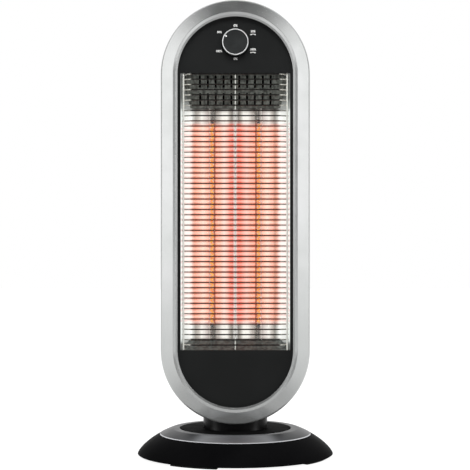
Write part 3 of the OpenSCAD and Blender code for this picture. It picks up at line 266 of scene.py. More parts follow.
# %% Plastics, rubber and print
FINISHES = {
    **painted,
    # fine eroded ABS of the front panel
    "panel_black": finish("satin_black_abs", "#171818", "#1b1c1c", 90, (0.40, 0.48), 0.8, 0.006, IOR=1.53,
                          Specular_IOR_Level=0.2),
    # coarser eroded ABS of the rear shell
    "shell_black": finish("grained_black_abs", "#141516", "#1a1b1c", 70, (0.44, 0.54), 1.3, 0.03, cells=True,
                          IOR=1.53),
    # black ABS of the base: its gloss is so weak in the photo that the IOR is set lower than that of ABS
    "base_black": finish("deep_black_abs", "#0a0a0b", "#0f0f10", 80, (0.34, 0.42), 1.5, 0.004, IOR=1.2,
                         Specular_IOR_Level=0.015),
    # flat black ABS of the disc on the base
    "disc_black": finish("matt_black_disc", "#0e0e0e", "#131313", 60, (0.56, 0.66), 0.9, 0.012, IOR=1.53,
                         Specular_IOR_Level=0.008),
    # soft-touch ABS of the knob, a little paler than the panel behind it
    "knob_black": finish("soft_black_knob", "#1d1f1f", "#232525", 14, (0.38, 0.48), 0.7, 0.01, IOR=1.5),
    # moulded nylon and acetal inside: slightly waxy
    "dark_plastic": finish("dark_nylon", "#1d1e20", "#282a2c", 12, (0.42, 0.56), 1.0, 0.02, IOR=1.53),
    "pale_plastic": finish("natural_acetal", "#cfccc0", "#dedbd1", 14, (0.34, 0.46), 1.2, 0.01, IOR=1.48),
    # dull rubber feet, and the woven sleeve of hot wires
    "rubber": finish("black_rubber", "#101010", "#191919", 18, (0.62, 0.78), 1.1, 0.04, cells=True,
                     IOR=1.52),
    "wire_sleeve": finish("woven_glass_sleeve", "#6b2a1f", "#8a3a2b", 3, (0.6, 0.8), 0.9, 0.12, cells=True),
    # thick white print
    "white_mark": finish("white_print", "#dcdcda", "#ebebe9", 4, (0.45, 0.6), 0.6, 0.003),
}
print("plastics and paints:", len(FINISHES))

# %% Metals and ceramics
FINISHES |= {
    # zinc plate: a faint grey-blue bloom on bright steel
    "zinc_steel": finish("zinc_plated_steel", "#8f9499", "#b2b6b9", 7, (0.24, 0.42), 1, 0.012, Metallic=1.0),
    # drawn wire, with its grain along the wire
    "spring_steel": finish("drawn_steel", "#8b8d8f", "#a9abad", 6, (0.2, 0.34), 0.7, 0.01, (1, 1, 0.15),
                           Metallic=1.0),
    "chrome_wire": finish("chromed_wire", "#a9aba9", "#b7b9b6", 25, (0.12, 0.2), 3.0, 0.006, Metallic=1.0),
    # upper end plate: galvanised sheet whose spangle the heat has darkened
    "dark_sheet": finish("heat_darkened_sheet", "#4a4e4a", "#868b85", 6, (0.4, 0.55), 2.2, 0.012,
                         (1.7, 1, 0.8), Metallic=0.5),
    # lower end plate: the same sheet painted darker and bluer, because the glow above it already tints it
    # warm
    "cool_sheet": finish("sheet_painted_cooler", "#303c3a", "#5c6967", 5, (0.42, 0.55), 2.2, 0.012, (1.3, 1, 1.3),
                         Metallic=0.3),
    # the thin ring on the knob: hot-stamped foil, more satin than mirror
    "satin_trim": finish("satin_silver_foil", "#dadbdb", "#e4e5e5", 9, (0.38, 0.46), 0.8, 0.004,
                         Metallic=0.3),
    # upright guard wires: dull nickel, pale even where the room is dark
    "dull_nickel": finish("dull_nickel_plate", "#e4e5de", "#f0f1ea", 12, (0.34, 0.42), 0.9, 0.006,
                          Metallic=0.4),
    "brass": finish("brass", "#b08c3f", "#cba85a", 8, (0.22, 0.36), 1.0, 0.01, Metallic=1.0),
    # steatite: a dense pale ceramic; where it holds the tubes it is painted nearly black, as painted shade
    # behind the slots
    "ceramic_painted_dark": finish("steatite_painted_dark", "#171614", "#201e1b", 10, (0.5, 0.62), 0.9, 0.012, IOR=1.6),
    "white_ceramic": finish("steatite", "#dcd9cf", "#ebe9e2", 10, (0.34, 0.52), 0.9, 0.012, IOR=1.6),
}
print("with metals and ceramics:", len(FINISHES))

# %% [markdown]
# ### The reflector
# It is rolled aluminium, brightened until it mirrors. Seen from the front, each trough shows its tube many
# times over, so the sheet seems to glow in upright columns: red next to the ridge, cream farther out, then
# salmon, with a dark line just inside each tube. A mirror alone gives this only with many light bounces, so
# the glow is put on the sheet as a weak emission that depends on the distance from the ridge. At the cold
# ends of the tubes the same columns are grey and white.

# %% Colours of the columns
# heights in metres: the glow of the tubes, the inner edges of the end plates, and the stripes of the wires'
# mirror images, as their spacing and the middle of the top one
GLOW_LOW, GLOW_HIGH = 0.1757, 0.4423
PLATE_LOW, PLATE_HIGH = 0.154, 0.463
BAND_STEP, BAND_TOP = 0.006995, 0.5098
# each stop: distance from the ridge in mm, colour
HOT_COLUMNS = [
    (1.6, "#f0c8c0"), (3.1, "#cc3a2c"), (7, "#ee624e"), (11, "#f6bcae"), (15, "#f6dcd4"), (20, "#f4a694"),
    (26.1, "#ea7460"), (26.7, "#501409"), (28, "#501409"), (28.6, "#f28c74"), (36, "#f49a86"),
    (43, "#f6ccc0"), (49, "#f2a292"), (54.5, "#d07462"), (57.5, "#c0a69e"), (61.5, "#d4e2e0"),
    (73, "#d8ebeb")]
COLD_COLUMNS = [
    (1.8, "#c8c4c0"), (4, "#6a645e"), (7, "#a39a92"), (11, "#f8f4ec"), (17, "#f6f2ea"), (22, "#bcb2aa"),
    (26.1, "#968c84"), (26.7, "#3c3632"), (28, "#3c3632"), (28.6, "#8c827c"), (34, "#968c86"),
    (38, "#ccc0ba"), (45, "#f4f0e8"), (49, "#beb6ae"), (53, "#9a928a"), (59, "#e4e6e2"), (73, "#dadfdc")]
# shares of a tint, as greys: the right tube burns a little hotter, so the painted glow of its trough is
# redder, and near its outer wall it has a line of painted shade
RIGHT_HEAT = [(1, "#000000"), (3, "#a8a8a8"), (11, "#a0a0a0"), (24, "#888888"), (28, "#000000")]
RIGHT_SHADE_LINE = [(50, "#000000"), (53, "#b0b0b0"), (56, "#000000")]
print("columns, hot and cold:", len(HOT_COLUMNS), len(COLD_COLUMNS))

# %% Reflector finish
def bright_aluminium():
    """Brightened aluminium whose emission follows the columns of the tube's reflection."""
    made = finish("brightened_aluminium", "#a3a6a5", "#b0b3b2", 45, (0.2, 0.27), 9.0, 0.02, (1, 1, 0.3),
                  Metallic=1.0)
    tree = made.node_tree
    shader = tree.nodes["Principled BSDF"]
    place, aside = place_of(tree)
    tree.links.new(along(tree, aside, HOT_COLUMNS, MM), shader.inputs["Emission Color"])
    # painted glow: a redder tint over the right trough
    mix_in(made, "Emission Color", along(tree, place["X"], RIGHT_HEAT, MM), "#e8442c")
    # the wires' mirror images: paler between them, redder at them. From the front they line up with the
    # wires; they lie farther back, so they are a little wider apart
    angle = put(tree, "ShaderNodeMath", {
        0: place["Z"], 1: 2 * np.pi / BAND_STEP, 2: -2 * np.pi * BAND_TOP / BAND_STEP},
        operation="MULTIPLY_ADD").outputs["Value"]
    wave = put(tree, "ShaderNodeMath", {0: angle}, operation="COSINE").outputs["Value"]
    for start, end, most, tint in ((0.3, -1.0, 0.36, "#fff4ec"), (-0.3, 1.0, 0.3, "#d8432e")):
        share = put(tree, "ShaderNodeMapRange", {
            "Value": wave, "From Min": start, "From Max": end, "To Max": most}).outputs["Result"]
        mix_in(made, "Emission Color", share, tint)
    glow = put(tree, "ShaderNodeMix", {
        "Factor": between(tree, place["Z"], GLOW_LOW, GLOW_HIGH, 0.004),
        6: along(tree, aside, COLD_COLUMNS, MM),
        7: shader.inputs["Emission Color"].links[0].from_socket}, data_type="RGBA")
    tree.links.new(glow.outputs[2], shader.inputs["Emission Color"])
    # a line of painted shade near the right trough's outer wall
    mix_in(made, "Emission Color", along(tree, place["X"], RIGHT_SHADE_LINE, MM), "#3e4040")
    # behind the end plates it gets no light, so the sheet there is painted near black as painted shade; its
    # side walls reach past them, keep their colour, and their painted glow fades out
    seen = between(tree, place["Z"], PLATE_LOW - 0.001, PLATE_HIGH - 0.003, 0.0045)
    lit = put(tree, "ShaderNodeMapRange", {"Value": seen, "To Max": 0.93}).outputs["Result"]
    on_wall = put(tree, "ShaderNodeMapRange", {
        "Value": aside, "From Min": 0.0565, "From Max": 0.058}).outputs["Result"]
    past = put(tree, "ShaderNodeMapRange", {
        "Value": between(tree, place["Z"], PLATE_LOW, PLATE_HIGH + 0.006, 0.007),
        "To Min": 0.09, "To Max": 0.4}).outputs["Result"]
    wall = put(tree, "ShaderNodeMath", {0: on_wall, 1: past}, operation="MULTIPLY").outputs["Value"]
    strength = put(tree, "ShaderNodeMath", {0: lit, 1: wall}, operation="MAXIMUM").outputs["Value"]
    tree.links.new(strength, shader.inputs["Emission Strength"])
    shown = put(tree, "ShaderNodeMath", {0: seen, 1: on_wall}, operation="MAXIMUM").outputs["Value"]
    # painted shade: near black where the sheet is hidden behind the end plates
    painted_shade = put(tree, "ShaderNodeMapRange", {"Value": shown, "To Min": 1.0, "To Max": 0.0})
    return mix_in(made, "Base Color", painted_shade.outputs["Result"], "#0a0a0a")


FINISHES["polished_sheet"] = bright_aluminium()
print("nodes in the reflector's finish:", len(FINISHES["polished_sheet"].node_tree.nodes))

# %% [markdown]
# ### Guard wires with painted light
# The guard's bars are plated steel wire. Across the front they are painted dark, as painted shade of the dim
# room they mirror, with a reddish cast in front of the glow, and at the bent ends a painted highlight keeps
# them bright. Two materials on one piece would leave a hard edge, so one finish changes over the guard's
# width and height.

# %% Finish of the guard's bars
def guard_steel():
    """Plated steel wire painted dark as painted shade, with a reddish cast where it crosses the glow, and a
    painted highlight at the bent ends.
    """
    made = finish("wire_with_painted_light", "#2e2d2c", "#383736", 25, (0.2, 0.3), 3.0, 0.006, Metallic=0.8)
    tree = made.node_tree
    place, aside = place_of(tree)
    hot = between(tree, place["Z"], GLOW_LOW - 0.003, GLOW_HIGH + 0.003, 0.004)
    mix_in(made, "Base Color", hot, "#76524a")
    # painted highlight at the bent ends, half as strong over the height of the window
    end = put(tree, "ShaderNodeMapRange", {"Value": aside, "From Min": 0.057, "From Max": 0.060})
    highlight_level = put(tree, "ShaderNodeMapRange", {
        "Value": between(tree, place["Z"], PLATE_LOW - 0.003, PLATE_HIGH, 0.002),
        "To Min": 1.0, "To Max": 0.5})
    bright = put(tree, "ShaderNodeMath", {
        0: end.outputs["Result"], 1: highlight_level.outputs["Result"]}, operation="MULTIPLY")
    return mix_in(made, "Base Color", bright.outputs["Value"], "#e6e6de")


FINISHES["guard_wire"] = guard_steel()
print("nodes in the bars' finish:", len(FINISHES["guard_wire"].node_tree.nodes))

# %% [markdown]
# ### Quartz and glowing carbon
# Quartz glass has an IOR of 1.46 and is so clear that mostly its edges show, where the eye looks through
# more of it; the edge next to the ridge mirrors it and is grey, or amber along the glow. A plain glass
# shader leaves these edges out at this size, so they are tints of the glass. The carbon strand is black
# when cold; at about 1100 degrees it radiates orange, brighter where its braid is thick.

# %% Quartz and carbon finishes
def quartz_glass():
    """Clear quartz with painted rims, darker towards its edges, and a painted reflection of the ridge as a
    line on the side next to it, amber along the glow.
    """
    made = finish("quartz_glass", "#f4f4f2", "#fbfbfa", 40, (0.0, 0.03), 14, 0.01, (1, 1, 0.1),
                  IOR=1.46, Transmission_Weight=1.0)
    tree = made.node_tree
    rim = put(tree, "ShaderNodeMapRange", {
        "Value": put(tree, "ShaderNodeLayerWeight", {"Blend": 0.5}).outputs["Facing"],
        "From Min": 0.72, "From Max": 0.95})
    mix_in(made, "Base Color", rim.outputs["Result"], "#5c3a30")
    place, aside = place_of(tree)
    inner = put(tree, "ShaderNodeMapRange", {
        "Value": aside, "From Min": 0.0281, "From Max": 0.0276}).outputs["Result"]
    mix_in(made, "Base Color", inner, "#9a9a96")
    lit = put(tree, "ShaderNodeMath", {
        0: inner, 1: between(tree, place["Z"], GLOW_LOW, GLOW_HIGH, 0.004)}, operation="MULTIPLY")
    return mix_in(made, "Base Color", lit.outputs["Value"], "#c88a66")


def hot_carbon():
    """Black carbon braid whose emission varies along the strand and dies at its cold ends."""
    made = finish("glowing_carbon", "#0d0b0a", "#191513", 2, (0.6, 0.8), 0.7, 0.05, cells=True)
    tree = made.node_tree
    shader = tree.nodes["Principled BSDF"]
    braid = put(tree, "ShaderNodeTexNoise", {
        "Vector": put(tree, "ShaderNodeTexCoord").outputs["Object"], "Scale": per_mm(3.2), "Detail": 2.0})
    ramp = put(tree, "ShaderNodeValToRGB", {"Fac": braid.outputs["Fac"]})
    tree.links.new(with_stops(ramp, [(0.35, "#ff7a1c"), (0.65, "#ffc24a")]), shader.inputs["Emission Color"])
    place = place_of(tree)[0]
    heat = put(tree, "ShaderNodeMapRange", {
        "Value": between(tree, place["Z"], GLOW_LOW, GLOW_HIGH, 0.005), "To Min": 0.15, "To Max": 1.2})
    tree.links.new(heat.outputs["Result"], shader.inputs["Emission Strength"])
    return made


FINISHES |= {"quartz": quartz_glass(), "glowing_carbon": hot_carbon()}
print("all finishes:", len(FINISHES))

# %% [markdown]
# ## Solids that keep their shape
# Brackets, screws, plates and switches are right as solids. They could be built again, but nothing would be
# gained, so each of their material slots just gets the finish of the same name. A few look different from
# the rest of their slot and get one of their own.

# %% Finish the solids
# the pivot washer is painted dark, as painted shade in the gap under the neck; the tube caps are painted
# nearly black, as painted shade behind the slots; the neck carries painted gleams
OWN_FINISH = {"pivot_washer": "dark_plastic", "neck_collar": "neck_black", "lower_end_plate": "cool_sheet",
              "upper_tube_caps": "ceramic_painted_dark", "lower_tube_caps": "ceramic_painted_dark"}
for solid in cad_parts.values():
    for holder in solid.material_slots:
        wears = holder.material.name.split(".")[0] if holder.material else ""
        if wears in FINISHES:
            holder.material = FINISHES[wears]
for name, wears in OWN_FINISH.items():
    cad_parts[name].material_slots[0].material = FINISHES[wears]
print("solids with a finish of their own:", len(OWN_FINISH))

# %% [markdown]
# ## From a grid of points to a piece
# Every new surface is a grid: one direction runs along a profile, the other along a path or round an axis.
# Modifiers could carry a profile too, but a formula can be checked. The helpers join the grid with
# four-sided faces, merge the points that meet at a pole, turn all faces outwards, and mark edges sharper
# than an angle. Sizes are in millimetres until the mesh is made.

# %% Mesh helpers
def grid_faces(rows, across, wrap_rows, wrap_across, first=0):
    """Four-sided faces between neighbours of a grid numbered row by row; a wrapped side closes on itself."""
    i, j = np.indices((rows - (not wrap_rows), across - (not wrap_across)))
    right, below = (j + 1) % across, (i + 1) % rows
    corners = [i * across + j, below * across + j, below * across + right, i * across + right]
    return (np.stack(corners, -1).reshape(-1, 4) + first).tolist()


def piece(name, points, faces, slot, body, stands_for=(), sharp=30, wears=None):
    """Makes one closed mesh from points in millimetres, hangs it on its body, gives it its finish, and hides
    the solids it stands for.
    """
    mesh = bpy.data.meshes.new(name)
    mesh.from_pydata((np.reshape(points, (-1, 3)) / 1000).tolist(), [], faces)
    work = bmesh.new()
    work.from_mesh(mesh)
    bmesh.ops.remove_doubles(work, verts=work.verts, dist=2e-6)
    bmesh.ops.recalc_face_normals(work, faces=work.faces)
    work.to_mesh(mesh)
    work.free()
    mesh.shade_smooth()
    mesh.set_sharp_from_angle(angle=np.radians(sharp))
    made = bpy.data.objects.new(name, mesh)
    scene.collection.objects.link(made)
    mesh.materials.append(FINISHES[wears or slot])
    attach(made, body)
    if stands_for:
        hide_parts(*stands_for)
    print(name, len(mesh.polygons), "faces")
    return made


def eased(corners, reach, steps=5, closed=True):
    """Rounds the corners of an outline: each becomes a quadratic curve that starts `reach` before it. The
    ends of an open line stay."""
    p = np.asarray(corners, float)
    before, after = np.roll(p, 1, 0) - p, np.roll(p, -1, 0) - p
    span_before, span_after = np.linalg.norm(before, axis=1), np.linalg.norm(after, axis=1)
    take = np.minimum(reach, 0.45 * np.minimum(span_before, span_after))[:, None]
    start = p + before * take / span_before[:, None]
    end = p + after * take / span_after[:, None]
    if not closed:
        start[[0, -1]] = end[[0, -1]] = p[[0, -1]]
    t = np.linspace(0, 1, steps)[None, :, None]
    curve = (1 - t) ** 2 * start[:, None] + 2 * t * (1 - t) * p[:, None] + t ** 2 * end[:, None]
    curve = curve.reshape(-1, 2)
    return curve if closed else curve[np.r_[True, np.linalg.norm(np.diff(curve, axis=0), axis=1) > 1e-6]]


# %% [markdown]
# ## The silver frame
# The frame is a sloping band that runs round the tall head, with a stepped lip inside it. The outline of
# the head is a stadium: two half circles joined by straight sides. A bevelled curve could follow it, but
# would need its section as a curve too. So a section, given as reach from the upright spine and depth, is
# carried round the stadium. The band slopes back by 20 degrees, so each stretch of it mirrors one part of
# the room; small curves at the section's corners catch the light as the real edges do.

# %% Silver frame
HEAD_MID, SPINE = 323.5, 179.5
HEAD_R, BAND_R, LIP_R = 97.5, 80.0, 75.2
CREST_Y, PANEL_Y, SPLIT_Y = -52.3, -40.0, -38.0
WALL = 2.4


def round_head(section, arc=72, side=20):
    """Carries a section (reach, y) round the stadium: x = reach cos a, z = centre + reach sin a, where the
    centre is the upper or lower end of the spine, and slides between them along the straight sides."""
    half, slide = np.linspace(0, np.pi, arc + 1), np.linspace(1, -1, side + 2)[1:-1]
    angle = np.concatenate([half, np.full(side, np.pi), half + np.pi, np.full(side, 2 * np.pi)])
    centre = np.concatenate([np.ones(arc + 1), slide, -np.ones(arc + 1), -slide]) * SPINE + HEAD_MID
    reach, depth = np.asarray(section).T
    x = reach[None] * np.cos(angle)[:, None]
    z = centre[:, None] + reach[None] * np.sin(angle)[:, None]
    return np.stack([x, np.broadcast_to(depth, x.shape), z], -1)


def flat_run(start, end):
    """A straight run with two more points near its ends, so that smooth shading leaves its middle flat."""
    start, end = np.asarray(start, float), np.asarray(end, float)
    return [start + (end - start) * share for share in (0, 0.08, 0.92, 1)]


CREST, FOOT = [BAND_R + 1.0, CREST_Y], [BAND_R - 2.2, CREST_Y + 2.32]
frame_section = [
    *flat_run(CREST, [HEAD_R - 1.8, CREST_Y + 5.35]), [HEAD_R - 0.8, CREST_Y + 6.2], [HEAD_R, CREST_Y + 8.0],
    [HEAD_R, SPLIT_Y], [HEAD_R - WALL, SPLIT_Y], [HEAD_R - WALL, CREST_Y + 8.5],
    [BAND_R + 1.6, CREST_Y + 2.9], [BAND_R + 1.6, CREST_Y + 8.4], [LIP_R + 2.6, CREST_Y + 9.3],
    [LIP_R + 2.4, PANEL_Y], [LIP_R + 0.6, PANEL_Y], *flat_run([LIP_R + 0.1, CREST_Y + 2.95], FOOT),
    *flat_run(FOOT, CREST)[1:3]]
frame_grid = round_head(eased(frame_section, 0.3, 4))
piece("head_frame", frame_grid, grid_faces(*frame_grid.shape[:2], True, True), "silver_paint", "head",
      ["front_frame"])

# %% [markdown]
# ## The stepped base
# The base is turned like a pot: one profile spun round the upright axis. A screw modifier could spin it;
# here the points are worked out, so that they can stand closer where the curve is tight. The black shell
# starts nearly flat at the disc and drops steeply at the rim. The dark silver ring lies in a shallow seat
# on its shoulder.

# %% Base
DISC_R, RING_R, BASE_R = 73.4, 100.5, 130.0
RIM_Z, DOME_H, RING_T = 3.4, 35.6, 1.4
DOME_POWER, DOME_ROOT = 1.418, 0.728


def turned(profile, sides, axis="Z", centre=(0, 0, 0)):
    """Spins a closed profile (radius, place along the axis) round an axis through the centre point."""
    a = np.linspace(0, 2 * np.pi, sides, endpoint=False)[:, None]
    r, level = np.asarray(profile, float).T
    p, q, h = r * np.cos(a), r * np.sin(a), np.broadcast_to(level, (sides, len(level)))
    return np.stack([p, q, h] if axis == "Z" else [p, h, q], -1) + np.asarray(centre, float)


def turn_piece(name, profile, sides, slot, body, stands_for=(), axis="Z", centre=(0, 0, 0), wears=None):
    """A turned piece: the closed profile is one side of the grid, the circle the other."""
    points = turned(profile, sides, axis, centre)
    faces = grid_faces(sides, len(profile), True, True)
    return piece(name, points, faces, slot, body, stands_for, wears=wears)


def dome(r):
    """Height of the base shell: a flattened superellipse, rim + height (1 - share^1.418)^0.728, with a
    share from 0 at the disc to 1 at the rim."""
    share = np.maximum(0, (r - DISC_R) / (BASE_R - DISC_R))
    return RIM_Z + DOME_H * np.maximum(0, 1 - share ** DOME_POWER) ** DOME_ROOT


def ring_top(r):
    """Upper face of the silver ring: just proud of the dome, and level near the disc."""
    return np.minimum(dome(r) + 0.3, 36.9)


ring_share = (RING_R + 0.4 - DISC_R) / (BASE_R - DISC_R)
spread = np.linspace(np.pi / 2, np.arcsin(ring_share ** (DOME_POWER / 2)), 40)
outer_r = DISC_R + (BASE_R - 0.05 - DISC_R) * np.sin(spread) ** (2 / DOME_POWER)
seat_r = np.linspace(RING_R + 0.4, DISC_R + 0.8, 14)
inner_r = np.linspace(77, 125.5, 20)
shell_profile = np.concatenate([
    [[121.9, 2.3], [124.0, 2.3], [128.8, 2.8]],
    np.stack([outer_r, dome(outer_r)], -1),
    np.stack([seat_r, ring_top(seat_r) - RING_T], -1),
    [[73.6, 35.4], [73.6, 33.8], [69, 33.8], [69, 31.3], [75, 31.3]],
    np.stack([inner_r, np.minimum(dome(inner_r + 2), ring_top(inner_r) - RING_T) - 2.2], -1),
    [[121.9, 5.9]]])
turn_piece("base_dome", shell_profile, 224, "base_black", "base", ["base_shell"])

ring_r = np.linspace(DISC_R + 0.8, RING_R - 0.9, 16)
ring_back = ring_r[::-1]
ring_profile = np.concatenate([
    np.stack([ring_r, ring_top(ring_r)], -1),
    [[RING_R - 0.3, ring_top(RING_R) - 0.15], [RING_R, ring_top(RING_R) - 0.5],
     [RING_R, ring_top(RING_R) - 1.3]],
    np.stack([ring_back, ring_top(ring_back) - RING_T + 0.02], -1)])
turn_piece("base_ring", eased(ring_profile, 0.3, 3), 224, "dark_silver", "base", ["base_trim_ring"])

disc_profile = eased([[30.05, 33.8], [DISC_R, 33.8], [DISC_R, 37.2], [30.05, 37.2]], 0.5)
turn_piece("base_disc", disc_profile, 192, "disc_black", "base", ["base_top_disc"])

# %% [markdown]
# ## The knob
# A rotary knob is a cup of black plastic with a thin silver ring on its front edge, and flutes for the
# fingers. They could be cut with many small tools; on a grid it is enough that the radius rises and falls
# round the circle. The face is slightly dished, and a dot shows its position.

# %% Knob
KNOB_Z, KNOB_SIDES, FLUTES = 544.8, 288, 36
ring_low, ring_high = (corner * 1000 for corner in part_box("knob_ring"))
knob_low, knob_high = (corner * 1000 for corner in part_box("knob"))
KNOB_FRONT, KNOB_BACK, RING_FRONT, RING_BACK = knob_low.y, knob_high.y, ring_low.y, ring_high.y
dish_r = np.linspace(0, 15.0, 9)
knob_profile = np.concatenate([
    np.stack([dish_r, KNOB_FRONT + 0.9 * (1 - (dish_r / 15.0) ** 2)], -1),
    [[15.5, KNOB_FRONT + 0.25], [15.65, RING_BACK], [17.1, RING_BACK], [17.4, RING_BACK + 0.5],
     [17.4, KNOB_BACK - 0.3], [17.1, KNOB_BACK], [6.2, KNOB_BACK], [6.2, KNOB_FRONT + 4],
     [0, KNOB_FRONT + 4]]])
knob_grid = turned(knob_profile, KNOB_SIDES, "Y", (0, 0, KNOB_Z))
turn = np.linspace(0, 2 * np.pi, KNOB_SIDES, endpoint=False)
flute = 1 - 0.014 * (0.5 + 0.5 * np.cos(FLUTES * turn)) ** 2
on_side = (knob_profile[:, 0] > 17.0)[None, :, None]
flat_grid = knob_grid[..., [0, 2]]
knob_grid[..., [0, 2]] = np.where(
    on_side, (flat_grid - [0, KNOB_Z]) * flute[:, None, None] + [0, KNOB_Z], flat_grid)
knob_faces = grid_faces(KNOB_SIDES, len(knob_profile), True, True)
piece("dial_knob", knob_grid, knob_faces, "knob_black", "knob", ["knob"])

ring_profile = eased([[15.85, RING_FRONT], [17.05, RING_FRONT], [17.05, RING_BACK], [15.85, RING_BACK]], 0.4)
turn_piece("dial_ring", ring_profile, 160, "chrome_wire", "knob", ["knob_ring"], "Y", (0, 0, KNOB_Z),
           "satin_trim")

DOT_TURN, DOT_REACH = np.radians(58), 14.2
dot_profile = [[0, KNOB_FRONT - 0.1], [0.8, KNOB_FRONT - 0.05], [1.2, KNOB_FRONT + 0.15],
               [1.2, KNOB_FRONT + 1.1], [0, KNOB_FRONT + 1.1]]
dot_place = (-DOT_REACH * np.sin(DOT_TURN), 0, KNOB_Z + DOT_REACH * np.cos(DOT_TURN))
turn_piece("dial_dot", dot_profile, 32, "white_mark", "knob", ["knob_pointer"], "Y", dot_place)

# %% [markdown]
# ## Marks round the knob
# The switch has six positions. Plain numbers stand for off, half and full heat, and a short curved line
# with two tips for the swing. A printed image could show them; flat text turned into mesh needs none, and
# stands a hair proud, like thick print.

# %% Marks
INK_Y = PANEL_Y - 0.04
CAP_HEIGHT = 0.7  # of the built-in font at size 1


def number(name, text, x, z, size):
    """Flat text of a given cap height in mm, centred at (x, z) on the panel, as a thin mesh."""
    curve = bpy.data.curves.new(name, "FONT")
    curve.body, curve.align_x, curve.align_y, curve.extrude = text, "CENTER", "CENTER", 0.004
    curve.offset = 0.03
    holder = bpy.data.objects.new(name, curve)
    mesh = bpy.data.meshes.new_from_object(holder)
    bpy.data.objects.remove(holder)
    flat = np.zeros(len(mesh.vertices) * 3)
    mesh.vertices.foreach_get("co", flat)
    flat = flat.reshape(-1, 3) * size / CAP_HEIGHT
    points = np.stack([x + flat[:, 0], INK_Y - flat[:, 2], z + flat[:, 1]], -1)
    return piece(name, points, [list(face.vertices) for face in mesh.polygons], "white_mark", "head")


def swing_sign(name, x, z):
    """Thin ribbon: an arc of a circle with a small barb at each end, as one strip of varying width."""
    end, barb, radius = 0.62, 0.2, 6.2
    a = np.linspace(-end, end, 41)
    width = np.where(np.abs(a) > end - barb, (end - np.abs(a)) / barb * 1.1, 0.38) + 0.02
    middle = np.stack([radius * np.sin(a), radius * np.cos(a) - 5.4], -1)
    away = np.stack([np.sin(a), np.cos(a)], -1) * width[:, None]
    edge = np.stack([middle - away, middle + away], 1)
    front = np.stack([x + edge[..., 0], np.full(edge.shape[:2], INK_Y - 0.03), z + edge[..., 1]], -1)
    back = front + [0, 0.06, 0]
    loop = np.stack([front[:, 0], front[:, 1], back[:, 1], back[:, 0]], 1)
    last = len(a) * 4 - 1
    caps = [[0, 1, 2, 3], [last, last - 1, last - 2, last - 3]]
    return piece(name, loop, grid_faces(len(a), 4, False, True) + caps, "white_mark", "head")


for mark in (("mark_off_upper", "0%", 0.3, 567.4, 3.0), ("mark_off_lower", "0%", 0.3, 523.9, 3.0),
             ("mark_half", "50%", -20.8, 558.9, 2.7), ("mark_full", "100%", -21.4, 533.9, 2.7),
             ("mark_half_swing", "50%", 23.2, 559.9, 2.6), ("mark_full_swing", "100%", 23.0, 536.2, 2.6)):
    number(*mark)
swing_sign("mark_swing_upper", 23.2, 555.6)
swing_sign("mark_swing_lower", 23.0, 532.0)

# %% [markdown]
# ## The reflector
# One sheet is rolled into two parabolas with a ridge between them, then bent forward into two slanting
# walls and out into flanges that lie behind the panel. Each parabola has its tube in its focus. Half of it
# could get a mirror modifier, but one closed sheet is as short to write: the front line is worked out for
# one half, mirrored and carried straight up, and a thickness is added behind. Its back isn't brightened.

# %% Reflector
TUBE_X, FOCUS = 31.1, 12.5


def trough(x):
    """Depth of the parabola: y = focus - (|x| - tube)^2 / (4 focus)."""
    return FOCUS - (np.abs(x) - TUBE_X) ** 2 / (4 * FOCUS)


half_x = np.linspace(57.5, 2.5, 45)
half_line = np.concatenate([
    [[78.1, -35.1], [71.1, -35.1], [64.3, -18.3]], np.stack([half_x, trough(half_x)], -1)])
half_line = eased(half_line, 0.8, 4, closed=False)
front_line = np.concatenate([half_line, half_line[::-1] * [-1, 1]])
heights = np.linspace(127.0, 506.5, 24)


def upright_sheet(line, levels, thickness):
    """Closed sheet: a line (x, y) carried up through the levels, with a parallel line behind it."""
    ahead = np.gradient(line, axis=0)
    normal = np.stack([ahead[:, 1], -ahead[:, 0]], -1)
    normal /= np.maximum(np.linalg.norm(normal, axis=1), 1e-9)[:, None]
    loop = np.concatenate([line, (line + normal * thickness)[::-1]])
    points = np.zeros((len(levels), len(loop), 3))
    points[..., :2], points[..., 2] = loop, levels[:, None]
    count, top = len(line), (len(levels) - 1) * len(loop)
    ends = [[k, k + 1, 2 * count - 2 - k, 2 * count - 1 - k] for k in range(count - 1)]
    ends += [[top + i for i in face] for face in ends]
    return points, grid_faces(len(levels), len(loop), False, True) + ends


reflector_points, reflector_faces = upright_sheet(front_line, heights, 1.0)
reflector = piece("trough_reflector", reflector_points, reflector_faces, "polished_sheet", "head",
                  ["reflector"])
facing = np.zeros(len(reflector.data.polygons) * 3)
reflector.data.polygons.foreach_get("normal", facing)
reflector.data.materials.append(FINISHES["zinc_steel"])
reflector.data.polygons.foreach_set("material_index", (facing[1::3] > 0.05).astype(np.int32))
print("faces of the dull back:", int((facing[1::3] > 0.05).sum()))

# %% [markdown]
# ## Tubes and elements
# A quartz tube is a ring in section with softly melted ends. The element inside is a strand of carbon fibre
# wound into a spiral: a circle that climbs. A bevelled curve could make it, but its bevel twists; so one
# function carries a small circle along a line, and makes the strand, the guard's wires and the leads.

# %% Tubes, elements
def pipes(lines, radius, sides, ref):
    """Carries a circle along each line of an array (lines, points, 3). Across each point stand two unit
    vectors: u, square to the line and to `ref`, and v, square to the line and to u."""
    lines = np.asarray(lines, float)
    ahead = np.gradient(lines, axis=1)
    ahead /= np.linalg.norm(ahead, axis=2, keepdims=True)
    u = np.cross(np.asarray(ref, float), ahead)
    u /= np.linalg.norm(u, axis=2, keepdims=True)
    v = np.cross(ahead, u)
    a = np.linspace(0, 2 * np.pi, sides, endpoint=False)[:, None]
    points = lines[:, :, None] + radius * (np.cos(a) * u[:, :, None] + np.sin(a) * v[:, :, None])
    count, length = lines.shape[:2]
    faces = []
    for k in range(count):
        first = k * length * sides
        last = first + (length - 1) * sides
        faces += grid_faces(length, sides, False, True, first)
        faces += [list(range(first, first + sides)), list(range(last, last + sides))[::-1]]
    return points.reshape(-1, 3), faces


